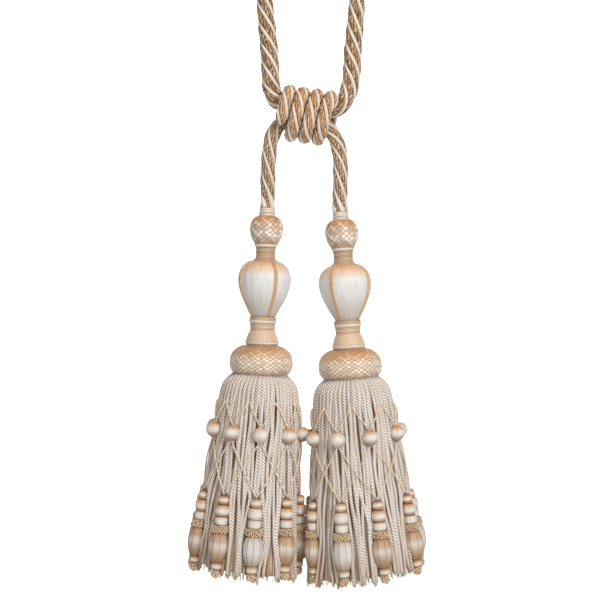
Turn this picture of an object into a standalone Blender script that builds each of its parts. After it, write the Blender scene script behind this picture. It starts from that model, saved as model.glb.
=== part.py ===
"""Curtain tieback with two key tassels.

One twisted rope runs up from the left tassel, through a barrel knot, round the
loop that hangs on the hook, and back down through the knot to the right tassel.
Each tassel is a stack of covered moulds above a skirt of twisted cords, and a
net of thin cord holds nine beads and nine drops over the skirt.

Sizes are in millimetres and become metres in the meshes. The origin is where
the hook bears inside the top of the loop, Z is up and the front faces -Y.
A depth in a tassel is measured down from the top of its collar.
"""

import math

import bmesh
import bpy
import numpy as np
from mathutils import Euler, Matrix

MM = 0.001
GAP = 0.3  # clear space between pieces that touch

# Rope: four strands laid up left-handed. One row for each chosen point of the route.
ROPE_SIDES = 8  # a ridge and a groove for each strand
ROPE_STEP = 6.0
LAY_AT_FULL_SIZE = 65.0  # rise of one strand in a turn, where the rope is fullest
FULL_RADIUS = 6.35
STRAND_GROOVE = 0.77  # depth of the groove between strands, as a share of the radius
ROPE_ROUTE = (  # x, y, z, radius
    (-34.87, 0.0, -214.45, 5.5),
    (-34.63, 0.0, -208.5, 5.6),
    (-34.5, 0.0, -201.0, 5.6),
    (-34.5, 0.1, -190.7, 5.6),
    (-34.0, 0.8, -178.7, 5.6),
    (-32.5, 2.3, -166.9, 5.5),
    (-29.6, 4.2, -155.9, 5.1),
    (-23.6, 4.7, -146.4, 4.9),
    (-13.3, 5.2, -141.4, 4.9),
    (-2.0, 4.5, -138.3, 4.9),
    (9.4, 1.9, -136.8, 4.9),
    (20.8, 0.1, -135.0, 4.9),
    (27.4, -0.2, -125.6, 4.9),
    (30.4, 0.0, -113.8, 5.6),
    (32.2, 0.0, -101.9, 6.35),
    (33.4, 0.0, -90.0, 6.35),
    (34.5, 0.0, -78.0, 6.35),
    (35.5, 0.0, -66.0, 6.35),
    (36.5, 0.0, -54.0, 6.35),
    (37.0, 0.0, -42.0, 6.35),
    (37.3, 0.0, -30.0, 6.35),
    (35.0, 0.0, -18.2, 6.35),
    (29.2, 0.0, -7.7, 6.35),
    (20.3, 0.0, 0.3, 6.35),
    (9.4, 0.0, 5.2, 6.35),
    (-2.5, 0.0, 6.35, 6.35),
    (-14.2, 0.0, 3.6, 6.35),
    (-24.4, 0.0, -2.6, 6.35),
    (-32.1, 0.0, -11.8, 6.35),
    (-36.6, 0.0, -22.9, 6.35),
    (-37.6, 0.0, -34.9, 6.35),
    (-37.2, 0.0, -46.9, 6.35),
    (-36.2, 0.0, -58.9, 6.35),
    (-35.1, 0.0, -70.9, 6.35),
    (-34.0, 0.0, -82.9, 6.35),
    (-33.0, 0.0, -94.9, 6.35),
    (-31.7, -0.1, -106.7, 6.3),
    (-29.8, -0.3, -118.3, 5.5),
    (-24.9, -1.2, -128.5, 4.9),
    (-15.5, -3.4, -134.5, 4.9),
    (-5.5, -5.1, -140.3, 4.9),
    (4.7, -3.9, -145.8, 4.9),
    (14.2, -2.0, -151.4, 4.9),
    (20.2, -0.7, -160.4, 5.2),
    (23.0, 0.0, -171.5, 5.6),
    (23.7, 0.0, -183.4, 5.6),
    (23.5, 0.0, -195.5, 5.6),
    (23.2, 0.0, -204.0, 5.6),
    (23.2, 0.0, -211.6, 5.6),
    (23.58, 0.0, -217.55, 5.5),
)

# Knot: the same rope wound round both legs.
KNOT_CENTRE = (-7.5, 0.0, -140.0)
KNOT_TILT = math.radians(8.0)  # its right end is the lower one
KNOT_TURNS = (-0.30, 3.38)  # where the winding starts and ends, in turns
KNOT_PITCH = 11.2
KNOT_START = 21.35
KNOT_HALF_HEIGHT = 17.6
KNOT_HALF_DEPTH = 16.8
WRAP_RADIUS = 5.25
WRAP_END_RADIUS = 2.8
WRAP_STEPS = 54
TUCK = 0.28  # how far the wrap's ends turn in towards the legs
TUCK_TURNS = 0.2
TAPER_TURNS = 0.1

# Moulds of a tassel, from the collar down: depth, radius.
COLLAR = ((0.0, 5.5), (1.6, 5.6), (4.8, 6.0), (6.2, 6.3))
BALL = ((6.5, 6.2), (8.4, 9.6), (11.2, 11.8), (14.6, 12.8), (17.8, 12.9), (22.4, 12.0), (25.6, 10.4), (28.4, 8.9))
NECK_RING = ((28.7, 8.3), (29.1, 8.9), (30.5, 8.9), (31.0, 8.3))
NECK_UPPER = ((31.3, 8.2), (33.6, 7.4), (38.4, 7.4), (40.0, 7.9), (42.1, 9.0))
BULB = (
    (42.4, 8.8),
    (43.0, 12.6),
    (45.2, 16.3),
    (49.2, 19.3),
    (54.6, 20.9),
    (60.4, 20.9),
    (66.0, 19.6),
    (72.0, 17.3),
    (79.0, 13.7),
    (84.4, 10.6),
    (86.4, 9.2),
)
WAIST_RING = ((86.7, 9.6), (87.2, 10.6), (89.0, 10.7), (89.4, 10.2), (89.8, 10.9), (91.2, 10.9), (91.6, 10.3))
NECK_LOWER = ((91.9, 10.4), (97.8, 9.9), (101.0, 10.4), (103.4, 11.4), (105.9, 12.7))
BUN_RING = ((106.2, 12.1), (106.7, 12.8), (108.1, 12.8), (108.6, 11.7), (109.6, 11.6))
BUN = (
    (109.9, 11.4),
    (111.8, 18.9),
    (114.6, 22.0),
    (118.0, 23.9),
    (122.6, 24.8),
    (127.6, 23.9),
    (131.0, 21.4),
    (133.6, 17.3),
)
MOULDS = (  # name, profile, sides, finish
    ("collar", COLLAR, 12, "ivory_thread"),
    ("ball", BALL, 15, "plaited_silk"),
    ("neck_ring", NECK_RING, 14, "ivory_thread"),
    ("neck_upper", NECK_UPPER, 14, "wound_thread"),
    ("bulb", BULB, 18, "ivory_satin"),
    ("waist_ring", WAIST_RING, 14, "ivory_thread"),
    ("neck_lower", NECK_LOWER, 14, "wound_thread"),
    ("bun_ring", BUN_RING, 14, "ivory_thread"),
    ("bun", BUN, 18, "plaited_silk"),
)

RIB_COUNT = 4
RIB_RADIUS = 1.3
RIB_SIDES = 4
RIB_ROWS = slice(1, 10)  # the rows of the bulb that a rib follows

# Skirt of cords.
HEAD_WALL = (134.5, 138.2)
HEAD_RADIUS = 16.5
HEAD_RING = (139.0, 11.0)  # depth and radius inside the ring of roots under the head
SKIRT_SURFACE = (  # depth, outer radius of the hanging cords
    (134.0, 25.0),
    (141.5, 30.0),
    (145.6, 31.2),
    (164.8, 34.0),
    (188.0, 35.8),
    (211.0, 37.8),
    (225.6, 40.0),
    (257.6, 43.4),
    (281.6, 45.4),
    (300.0, 46.4),
)
CORD_THICKNESS = 3.4
CORDS_PER_BAY = 4  # cords side by side between two drops
CORD_SPACE = 0.5
OUTER_LEVELS = (135.2, 141.5, 177.6, 195.0, 265.0)
PARTING = (0.3, 0.3, 6.4, 0.3, 10.0)  # room left at each level beside a bead or a drop
HEM_PARTING = 4.8
HEM_DEPTH = 291.0
HEM_WAVE = 3.0
BEHIND_LEVELS = ((137.0, 20.5), (177.6, 27.9), (232.0, 33.6), (265.0, 31.2), (288.0, 36.0))
MIDDLE_LEVELS = ((145.0, 14.5), (288.0, 24.5))
BEHIND_SIZE = (3.2, 3.0)  # width and thickness of a cord behind a drop
MIDDLE_SIZE = (5.0, 3.6)
HEM_UNEVEN = 2.399  # turns a cord's number into its own small change of length
PRESS = 0.07  # how much flatter a skirt is where it leans on the other one
PRESS_DEPTHS = (190.0, 240.0)

# Net, beads and drops.
NET_RADIUS = 0.6
NET_CLEAR = 1.5  # how far the middle of a net cord stands off the skirt
NODE_DEPTH = 152.4
CROSS_DEPTH = 203.5
MEETING_DEPTH = 224.8  # where two net cords meet over a drop
CROSSING_RADIUS = 0.8
BEAD_DEPTH = 177.6
BEAD_RADIUS = 5.8
BEAD_ENTRY = 4.6  # how far from its middle a bead takes in its cords
BEAD_STAND = 1.5  # how far the middle of a bead lies outside the skirt
BEAD_SIDES = 6
BEAD_ROWS = 4
DROP_TOP = 226.0
DROP_FOOT = 290.0
DROP_STAND = 0.4  # how far the middle of a drop lies outside the skirt, at its top
DROP_SINK = 1.1  # how far the middle of a drop lies inside the skirt, at its foot
DROP = (  # depth below its own top, radius
    (0.0, 3.6),
    (7.4, 3.9),
    (10.6, 5.4),
    (15.8, 5.0),
    (22.4, 4.6),
    (24.6, 6.6),
    (28.2, 6.2),
    (38.6, 8.2),
    (50.8, 3.8),
    (60.0, 4.1),
    (63.6, 2.2),
)
DROP_SIDES = 7
NET_MEMBER_SIDES = 3

# side, collar top x and z, lean of the head, more lean of the skirt, angle that faces the other tassel,
# angle of the first rib, angles of the drops in front, number of drops
TASSELS = (
    ("left", -34.88, -214.8, 2.3, 2.0, 90.0, -63.0, (-66.0, -30.0, 7.0, 46.0, 84.0), 9),
    ("right", 23.6, -217.9, -3.6, -1.1, -90.0, -32.0, (-67.0, -25.0, 16.0, 61.0), 9),
)

FINISHES = {  # linear colour, roughness
    "gold_rope": ((0.60, 0.38, 0.19), 0.62),
    "ivory_thread": ((0.76, 0.68, 0.58), 0.55),
    "plaited_silk": ((0.70, 0.57, 0.43), 0.50),
    "wound_thread": ((0.66, 0.50, 0.34), 0.50),
    "ivory_satin": ((0.78, 0.75, 0.70), 0.35),
    "tan_gimp": ((0.58, 0.38, 0.19), 0.60),
    "skirt_cord": ((0.68, 0.59, 0.49), 0.68),
    "net_cord": ((0.72, 0.60, 0.46), 0.55),
    "drop_silk": ((0.72, 0.58, 0.43), 0.38),
}


def clear_scene():
    for item in list(bpy.data.objects):
        bpy.data.objects.remove(item, do_unlink=True)


def finish(name):
    """The material of that name, made the first time it is asked for."""
    found = bpy.data.materials.get(name)
    if found:
        return found
    colour, roughness = FINISHES[name]
    made = bpy.data.materials.new(name)
    made.use_nodes = True
    shader = made.node_tree.nodes["Principled BSDF"]
    shader.inputs["Base Color"].default_value = (*colour, 1.0)
    shader.inputs["Roughness"].default_value = roughness
    shader.inputs["Metallic"].default_value = 0.0
    return made


def add_piece(name, bm, finish_name, parent=None, crease=50.0):
    """A named object from a bmesh, its faces turned outwards and shaded smooth."""
    bmesh.ops.recalc_face_normals(bm, faces=bm.faces)
    mesh = bpy.data.meshes.new(name)
    bm.to_mesh(mesh)
    bm.free()
    mesh.shade_smooth()
    mesh.set_sharp_from_angle(angle=math.radians(crease))
    mesh.materials.append(finish(finish_name))
    piece = bpy.data.objects.new(name, mesh)
    piece.parent = parent
    bpy.context.scene.collection.objects.link(piece)
    return piece


def add_guide(name, parent=None):
    guide = bpy.data.objects.new(name, None)
    guide.parent = parent
    bpy.context.scene.collection.objects.link(guide)
    return guide


def turned(profile, sides):
    """A solid of revolution about -Z from rows of depth and radius."""
    bm = bmesh.new()
    rim = [bm.verts.new((radius * MM, 0.0, -depth * MM)) for depth, radius in profile]
    edges = [bm.edges.new(pair) for pair in zip(rim, rim[1:])]
    bmesh.ops.spin(
        bm, geom=rim + edges, cent=(0, 0, 0), axis=(0, 0, 1), angle=math.tau, steps=sides, use_merge=True
    )
    bmesh.ops.holes_fill(bm, edges=[edge for edge in bm.edges if edge.is_boundary], sides=0)
    return bm


def loft(bm, rings):
    """Closed tube through rings of points in millimetres, with a face across each end."""
    loops = [[bm.verts.new(point * MM) for point in ring] for ring in rings]
    for upper, lower in zip(loops, loops[1:]):
        for side in range(len(upper)):
            after = (side + 1) % len(upper)
            bm.faces.new((upper[side], upper[after], lower[after], lower[side]))
    bm.faces.new(loops[0][::-1])
    bm.faces.new(loops[-1])


def smooth_line(points, per_span=10):
    """Catmull-Rom curve through the rows of an array, with the end rows kept."""
    ends = np.vstack([2 * points[0] - points[1], points, 2 * points[-1] - points[-2]])
    t = (np.arange(per_span) / per_span)[:, None]
    spans = []
    for a, b, c, d in zip(ends, ends[1:], ends[2:], ends[3:]):
        bend = (2 * a - 5 * b + 4 * c - d) * t**2 + (3 * b - a - 3 * c + d) * t**3
        spans.append(0.5 * (2 * b + (c - a) * t + bend))
    return np.vstack([*spans, points[-1]])


def even_steps(line, step):
    """The same line in steps of nearly equal length, measured on its first three columns."""
    walked = np.r_[0.0, np.cumsum(np.linalg.norm(np.diff(line[:, :3], axis=0), axis=1))]
    at = np.linspace(0.0, walked[-1], round(walked[-1] / step) + 1)
    return np.stack([np.interp(at, walked, column) for column in line.T], axis=1)


def frames_along(line):
    """Tangents and two cross directions that don't turn about the line."""
    tangents = np.gradient(line, axis=0)
    tangents /= np.linalg.norm(tangents, axis=1)[:, None]
    across = np.empty_like(line)
    start = np.cross(tangents[0], (0.0, 1.0, 0.0))
    across[0] = start / np.linalg.norm(start)
    for row in range(1, len(line)):
        kept = across[row - 1] - tangents[row] * (across[row - 1] @ tangents[row])
        across[row] = kept / np.linalg.norm(kept)
    return tangents, across, np.cross(tangents, across)


def twisted_rings(line, radii):
    """Rings of a laid rope: the strands turn left-handed, faster where the rope is fuller."""
    tangents, across, beside = frames_along(line)
    steps = np.r_[0.0, np.linalg.norm(np.diff(line, axis=0), axis=1)]
    turn = -np.cumsum(steps * math.tau * radii / (LAY_AT_FULL_SIZE * FULL_RADIUS))
    angles = math.tau * np.arange(ROPE_SIDES) / ROPE_SIDES
    outline = np.where(np.arange(ROPE_SIDES) % 2 == 0, STRAND_GROOVE, 1.0)
    rings = []
    for row, centre in enumerate(line):
        wave = (angles + turn[row])[:, None]
        reach = (radii[row] * outline)[:, None]
        rings.append(centre + reach * (np.cos(wave) * across[row] + np.sin(wave) * beside[row]))
    return rings


def add_rope():
    route = even_steps(smooth_line(np.array(ROPE_ROUTE)), ROPE_STEP)
    bm = bmesh.new()
    loft(bm, twisted_rings(route[:, :3], route[:, 3]))
    add_piece("rope", bm, "gold_rope", crease=80.0)


def add_knot_wrap():
    """The winding is a helix about the knot's own axis, tucked in and thinned at both ends."""
    turns = np.linspace(*KNOT_TURNS, WRAP_STEPS)
    first, last = KNOT_TURNS
    tuck = np.clip((TUCK_TURNS - (turns - first)) / TUCK_TURNS, 0, 1)
    tuck = tuck + np.clip((turns - last + TUCK_TURNS) / TUCK_TURNS, 0, 1)
    inwards = 1.0 - TUCK * tuck**2
    thin = np.clip((TAPER_TURNS - (turns - first)) / TAPER_TURNS, 0, 1)
    thin = thin + np.clip((turns - last + TAPER_TURNS) / TAPER_TURNS, 0, 1)
    radii = WRAP_RADIUS - (WRAP_RADIUS - WRAP_END_RADIUS) * thin**2
    along = np.array((math.cos(KNOT_TILT), 0.0, -math.sin(KNOT_TILT)))
    upward = np.array((math.sin(KNOT_TILT), 0.0, math.cos(KNOT_TILT)))
    angle = math.tau * turns
    line = np.array(KNOT_CENTRE) + np.outer(KNOT_START - KNOT_PITCH * turns, along)
    line = line + np.outer(KNOT_HALF_HEIGHT * inwards * np.cos(angle), upward)
    line[:, 1] -= KNOT_HALF_DEPTH * inwards * np.sin(angle)
    bm = bmesh.new()
    loft(bm, twisted_rings(line, radii))
    add_piece("knot_wrap", bm, "gold_rope", crease=80.0)


def add_rib(name, angle, parent):
    """A gimp that lies down the bulb, one rib radius and a gap off its surface."""
    rows = np.array(BULB)
    slope = np.gradient(rows, axis=0)
    slope /= np.linalg.norm(slope, axis=1)[:, None]
    normal = np.stack([-slope[:, 1], slope[:, 0]], axis=1)
    centre = (rows + (RIB_RADIUS + GAP) * normal)[RIB_ROWS]
    normal = normal[RIB_ROWS]
    out = np.array((math.sin(angle), -math.cos(angle), 0.0))
    side = np.array((math.cos(angle), math.sin(angle), 0.0))
    down = np.array((0.0, 0.0, -1.0))
    rings = []
    for (depth, radius), (lean, push) in zip(centre, normal):
        middle = radius * out + depth * down
        away = push * out + lean * down
        corners = math.tau * (np.arange(RIB_SIDES) + 0.5) / RIB_SIDES
        rings.append([middle + RIB_RADIUS * (math.cos(a) * away + math.sin(a) * side) for a in corners])
    bm = bmesh.new()
    loft(bm, np.array(rings))
    add_piece(name, bm, "tan_gimp", parent)


def pressed(depth, angle, facing):
    """Share of its radius that a skirt keeps at this depth and angle, beside the other tassel."""
    onset = np.interp(depth, PRESS_DEPTHS, (0.0, 1.0))
    return 1.0 - PRESS * onset * max(math.cos(angle - facing), 0.0) ** 2


def skirt_radius(depth, angle, facing):
    depths, radii = zip(*SKIRT_SURFACE)
    return float(np.interp(depth, depths, radii)) * pressed(depth, angle, facing)


def polar(depth, radius, angle):
    """Point of a tassel from its depth, its radius and its angle from the front, in radians."""
    return np.array((radius * math.sin(angle), -radius * math.cos(angle), -depth))


def drop_angles(shown, count):
    """The shown drops keep their angles and the others share the back evenly, in radians."""
    spare = 360.0 - (shown[-1] - shown[0])
    hidden = count - len(shown)
    back = [shown[-1] + spare * (step + 1) / (hidden + 1) for step in range(hidden)]
    return [math.radians(angle) for angle in (*shown, *back)]


def cord_rings(levels, left, right, thickness):
    """Four-cornered rings of a skirt cord between two edges, given as angles at each level."""
    rows = np.array(levels, dtype=float)
    slope = np.gradient(rows, axis=0)
    slope /= np.linalg.norm(slope, axis=1)[:, None]
    rings = []
    for (depth, radius), (fall, spread), low, high in zip(rows, slope, left, right):
        near = (depth + spread * thickness / 2, radius - fall * thickness / 2)
        far = (depth - spread * thickness / 2, radius + fall * thickness / 2)
        rings.append([polar(*near, low), polar(*near, high), polar(*far, high), polar(*far, low)])
    return rings


def grow(bm, face, rings):
    """Extrude one root face of the head through the rings of a cord."""
    corners = list(face.verts)
    for ring in rings:
        made = bmesh.ops.extrude_discrete_faces(bm, faces=[face])
        face = made["faces"][0]
        after = [loop.vert for loop in face.loops]
        order = nearest_order(corners, ring)
        for vert, place in zip(after, order):
            vert.co = ring[place] * MM
        corners = after


def nearest_order(corners, ring):
    """Which corner of the ring each corner of the root takes, turning the same way round."""
    root = np.array([vert.co for vert in corners]) / MM
    root = root - root.mean(axis=0)
    goal = np.array(ring) - np.mean(ring, axis=0)
    choices = [[(start + way * step) % 4 for step in range(4)] for start in range(4) for way in (1, -1)]
    scale = np.linalg.norm(root, axis=1).mean() / np.linalg.norm(goal, axis=1).mean()
    return min(choices, key=lambda order: np.linalg.norm(root - goal[order] * scale))


def bay_edges(angles):
    """For each bay between two drops, its first and last angle."""
    return list(zip(angles, [*angles[1:], angles[0] + math.tau]))


def outer_cords(angles, facing):
    """Rings of the cords that show: each bay's cords fill it, but for the room beside a bead or drop."""
    cords = []
    for bay, (first, last) in enumerate(bay_edges(angles)):
        for place in range(CORDS_PER_BAY):
            number = bay * CORDS_PER_BAY + place
            change = math.sin(number * HEM_UNEVEN)
            levels, lefts, rights = [], [], []
            for depth, room in zip((*OUTER_LEVELS, HEM_DEPTH + HEM_WAVE * change), (*PARTING, HEM_PARTING)):
                middle = first + (last - first) * (place + 0.5) / CORDS_PER_BAY
                radius = skirt_radius(depth, middle, facing) - CORD_THICKNESS / 2
                if depth == OUTER_LEVELS[0]:
                    radius -= CORD_THICKNESS / 2
                low = first + room / radius
                width = (last - first - 2 * room / radius) / CORDS_PER_BAY
                levels.append((depth, radius))
                lefts.append(low + width * place + CORD_SPACE / 2 / radius)
                rights.append(low + width * (place + 1) - CORD_SPACE / 2 / radius)
            cords.append(cord_rings(levels, lefts, rights, CORD_THICKNESS))
    return cords


def plain_cord(levels, angle, width, thickness, number, facing):
    """Rings of a cord that hangs straight at one angle."""
    change = HEM_WAVE * math.sin(number * HEM_UNEVEN)
    rows = [*levels[:-1], (levels[-1][0] + change, levels[-1][1])]
    rows = [(depth, radius * pressed(depth, angle, facing)) for depth, radius in rows]
    half = [width / 2 / radius for _, radius in rows]
    return cord_rings(rows, [angle - h for h in half], [angle + h for h in half], thickness)


def head_angles(angles):
    """Corners of the head's wall: one narrow root behind each drop, then a bay of roots."""
    corners = []
    for first, last in bay_edges(angles):
        step = (last - first) / (CORDS_PER_BAY + 1)
        corners += [first + step * (place - 0.5) for place in range(CORDS_PER_BAY + 1)]
    return corners


def add_skirt(name, angles, facing, parent):
    """Cords drawn out of one head: a wall of outer roots, and a ring of roots under it."""
    bm = bmesh.new()
    corners = head_angles(angles)
    rows = [(depth, HEAD_RADIUS) for depth in HEAD_WALL] + [HEAD_RING]
    grid = [[bm.verts.new(polar(*row, angle) * MM) for angle in corners] for row in rows]
    bands = []
    for upper, lower in zip(grid, grid[1:]):
        pairs = zip(upper, [*upper[1:], upper[0]], [*lower[1:], lower[0]], lower)
        bands.append([bm.faces.new(pair) for pair in pairs])
    bm.faces.new(grid[0])
    bm.faces.new(grid[-1])
    bm.normal_update()
    per_bay = CORDS_PER_BAY + 1
    outer = outer_cords(angles, facing)
    for bay, angle in enumerate(angles):
        first = bay * per_bay
        after = angles[bay + 1] if bay + 1 < len(angles) else angles[0] + math.tau
        grow(bm, bands[0][first], plain_cord(BEHIND_LEVELS, angle, *BEHIND_SIZE, bay, facing))
        for place in range(CORDS_PER_BAY):
            grow(bm, bands[0][first + 1 + place], outer[bay * CORDS_PER_BAY + place])
        middle = corners[first + 1] + 1.5 * (after - angle) / per_bay
        grow(bm, bands[1][first + 2], plain_cord(MIDDLE_LEVELS, middle, *MIDDLE_SIZE, bay + 0.5, facing))
    add_piece(name, bm, "skirt_cord", parent, crease=40.0)


def tube(bm, points, radius, sides):
    """Straight-sided cord through a few points of a tassel, in millimetres."""
    line = np.array(points)
    _, across, beside = frames_along(line)
    corners = math.tau * (np.arange(sides) + 0.5) / sides
    rings = []
    for centre, one, other in zip(line, across, beside):
        rings.append([centre + radius * (math.cos(a) * one + math.sin(a) * other) for a in corners])
    loft(bm, np.array(rings))


def net_point(depth, angle, facing):
    return polar(depth, skirt_radius(depth, angle, facing) + NET_CLEAR, angle)


def net_member(bm, start, end, facing, pieces=2):
    """A cord that lies on the skirt from one depth and angle to another."""
    steps = np.linspace(start, end, pieces + 1)
    tube(bm, [net_point(*step, facing) for step in steps], NET_RADIUS, NET_MEMBER_SIDES)


def add_net(name, angles, facing, parent):
    """Beads on a net: a V of cords over each bead, and two cords from it to the drops beside."""
    bm = bmesh.new()
    count = len(angles)
    around = [*angles, *(angle + math.tau for angle in angles)]
    above = BEAD_DEPTH - BEAD_ENTRY
    below = BEAD_DEPTH + BEAD_ENTRY
    for bead in range(count):
        here, beyond = around[bead], around[bead + 1]
        between = (here + beyond) / 2
        net_member(bm, (NODE_DEPTH, between), (above, here), facing, 1)
        net_member(bm, (NODE_DEPTH, between), (above, beyond), facing, 1)
        net_member(bm, (below, here), (MEETING_DEPTH, beyond), facing)
        net_member(bm, (below, beyond), (MEETING_DEPTH, here), facing)
        centre = polar(BEAD_DEPTH, skirt_radius(BEAD_DEPTH, here, facing) + BEAD_STAND, here)
        place = Matrix.Translation(centre * MM)
        bmesh.ops.create_uvsphere(
            bm, u_segments=BEAD_SIDES, v_segments=BEAD_ROWS, radius=BEAD_RADIUS * MM, matrix=place
        )
    net = add_piece(name, bm, "net_cord", parent)
    first = bmesh.new()
    knot = net_point(CROSS_DEPTH, (around[0] + around[1]) / 2, facing)
    place = Matrix.Translation(knot * MM)
    bmesh.ops.create_icosphere(first, subdivisions=1, radius=CROSSING_RADIUS * MM, matrix=place)
    knot_piece = add_piece(f"{name}_crossing", first, "net_cord", parent)
    knot_piece.hide_render = True
    knot_piece.display_type = "WIRE"
    union = net.modifiers.new("Join net", "BOOLEAN")
    union.operation = "UNION"
    union.solver = "EXACT"
    union.use_self = True
    union.object = knot_piece


def add_drop(name, angle, facing, parent):
    """A drop hangs along the slope of the skirt, half sunk in its cords."""
    top = skirt_radius(DROP_TOP, angle, facing) + DROP_STAND
    foot = skirt_radius(DROP_FOOT, angle, facing) - DROP_SINK
    slope = math.atan2(foot - top, DROP_FOOT - DROP_TOP)
    drop = add_piece(name, turned(DROP, DROP_SIDES), "drop_silk", parent)
    drop.location = polar(DROP_TOP, top, angle) * MM
    drop.rotation_euler = Euler((-slope, 0.0, angle))


def add_tassel(side, x, z, lean, skirt_lean, facing, first_rib, shown, count):
    head = add_guide(f"{side}_head_frame")
    head.location = (x * MM, 0.0, z * MM)
    head.rotation_euler = (0.0, math.radians(lean), 0.0)
    for part, profile, sides, finish_name in MOULDS:
        add_piece(f"{side}_{part}", turned(profile, sides), finish_name, head)
    for rib in range(RIB_COUNT):
        angle = math.radians(first_rib + 360.0 * rib / RIB_COUNT)
        add_rib(f"{side}_bulb_rib_{rib + 1}", angle, head)
    skirt = add_guide(f"{side}_skirt_frame", head)
    turn = Matrix.Rotation(math.radians(skirt_lean), 4, "Y")
    pivot = Matrix.Translation((0.0, 0.0, -HEAD_WALL[0] * MM))
    skirt.matrix_local = pivot @ turn @ pivot.inverted()
    angles = drop_angles(shown, count)
    facing = math.radians(facing)
    add_skirt(f"{side}_skirt", angles, facing, skirt)
    add_net(f"{side}_net", angles, facing, skirt)
    for number, angle in enumerate(angles, start=1):
        add_drop(f"{side}_drop_{number}", angle, facing, skirt)


def main():
    clear_scene()
    add_rope()
    add_knot_wrap()
    for row in TASSELS:
        add_tassel(*row)


main()
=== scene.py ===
"""Looks of a curtain tieback with two key tassels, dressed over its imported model.

Sizes are in millimetres and become metres in the meshes; only the rope's route, the camera and the lamps are
in metres, as the frame has them. A depth in a tassel is measured down from the top of its collar, and an
angle runs from the front of the tassel towards +X. A colour is its code as it shows on screen.
"""

import logging
import math
from dataclasses import dataclass, replace
from enum import Enum

import bpy
import numpy as np
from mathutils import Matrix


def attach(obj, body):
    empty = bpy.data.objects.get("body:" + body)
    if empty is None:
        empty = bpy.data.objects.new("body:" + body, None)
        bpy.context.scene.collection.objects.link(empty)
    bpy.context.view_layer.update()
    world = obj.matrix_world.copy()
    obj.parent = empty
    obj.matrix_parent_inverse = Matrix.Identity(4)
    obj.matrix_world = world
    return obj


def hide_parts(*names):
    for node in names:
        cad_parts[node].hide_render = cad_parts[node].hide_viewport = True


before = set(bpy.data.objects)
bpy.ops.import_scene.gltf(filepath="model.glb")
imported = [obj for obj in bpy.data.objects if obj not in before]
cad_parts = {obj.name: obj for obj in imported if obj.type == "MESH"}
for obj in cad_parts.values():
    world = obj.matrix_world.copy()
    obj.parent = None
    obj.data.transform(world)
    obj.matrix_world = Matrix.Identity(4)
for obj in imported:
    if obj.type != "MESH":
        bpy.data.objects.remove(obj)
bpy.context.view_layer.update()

MM = 0.001
TAU = math.tau
BODY = "root"
LOG = logging.getLogger("tieback")

Array = np.ndarray
Triple = tuple[float, float, float]
Profile = tuple[tuple[float, float], ...]
Stops = tuple[tuple[float, str], ...]
ZERO = (0, 0, 0)

# The rope's route in metres, from the left collar up round the loop and down to the
# right collar: x, y, z, radius.
ROPE_ROUTE = (
    (-0.03487, 0.0, -0.21445, 0.0055), (-0.03463, 0.0, -0.2085, 0.0056),
    (-0.0345, 0.0, -0.201, 0.0056), (-0.0345, 0.0001, -0.1907, 0.0056),
    (-0.034, 0.0008, -0.1787, 0.0056), (-0.0331, 0.0023, -0.1669, 0.0055),
    (-0.0308, 0.0042, -0.1559, 0.0051), (-0.0246, 0.0047, -0.1464, 0.0049),
    (-0.0133, 0.0052, -0.1414, 0.0049), (-0.002, 0.0045, -0.1383, 0.0049),
    (0.0094, 0.0019, -0.1368, 0.0049), (0.0208, 0.0001, -0.135, 0.0049),
    (0.0284, -0.0002, -0.1256, 0.0049), (0.0317, 0.0, -0.1138, 0.0056),
    (0.0329, 0.0, -0.1019, 0.00635), (0.0334, 0.0, -0.09, 0.00635),
    (0.0345, 0.0, -0.078, 0.00635), (0.0355, 0.0, -0.066, 0.00635),
    (0.0365, 0.0, -0.054, 0.00635), (0.037, 0.0, -0.042, 0.00635),
    (0.0373, 0.0, -0.03, 0.00635), (0.035, 0.0, -0.0182, 0.00635),
    (0.0292, 0.0, -0.0077, 0.00635), (0.0203, 0.0, 0.0003, 0.00635),
    (0.0094, 0.0, 0.0052, 0.00635), (-0.0025, 0.0, 0.00635, 0.00635),
    (-0.0142, 0.0, 0.0036, 0.00635), (-0.0244, 0.0, -0.0026, 0.00635),
    (-0.0321, 0.0, -0.0118, 0.00635), (-0.0366, 0.0, -0.0229, 0.00635),
    (-0.0376, 0.0, -0.0349, 0.00635), (-0.0372, 0.0, -0.0469, 0.00635),
    (-0.0362, 0.0, -0.0589, 0.00635), (-0.0351, 0.0, -0.0709, 0.00635),
    (-0.034, 0.0, -0.0829, 0.00635), (-0.033, 0.0, -0.0949, 0.00635),
    (-0.0325, -0.0001, -0.1067, 0.0063), (-0.0316, -0.0003, -0.1183, 0.0055),
    (-0.0272, -0.0012, -0.1285, 0.0049), (-0.0166, -0.0034, -0.1345, 0.0049),
    (-0.0055, -0.0051, -0.1403, 0.0049), (0.0047, -0.0039, -0.1458, 0.0049),
    (0.0142, -0.002, -0.1514, 0.0049), (0.0202, -0.0007, -0.1604, 0.0052),
    (0.023, 0.0, -0.1715, 0.0056), (0.0237, 0.0, -0.1834, 0.0056),
    (0.0235, 0.0, -0.1955, 0.0056), (0.0232, 0.0, -0.204, 0.0056),
    (0.0232, 0.0, -0.2116, 0.0056), (0.02358, 0.0, -0.21755, 0.0055),
)


class Slot(Enum):
    """The record's material slots."""

    ROPE = "gold_rope"
    THREAD = "ivory_thread"
    PLAIT = "plaited_silk"
    WOUND = "wound_thread"
    SATIN = "ivory_satin"
    GIMP = "tan_gimp"
    SKIRT = "skirt_cord"
    NET = "net_cord"
    DROP = "drop_silk"


def shade(code: str) -> tuple[float, ...]:
    """Linear colour of a screen colour: ((c + 0.055) / 1.055) to the power 2.4 for each channel, opaque."""
    return (*(((value / 255 + 0.055) / 1.055) ** 2.4 for value in bytes.fromhex(code)), 1)


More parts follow.
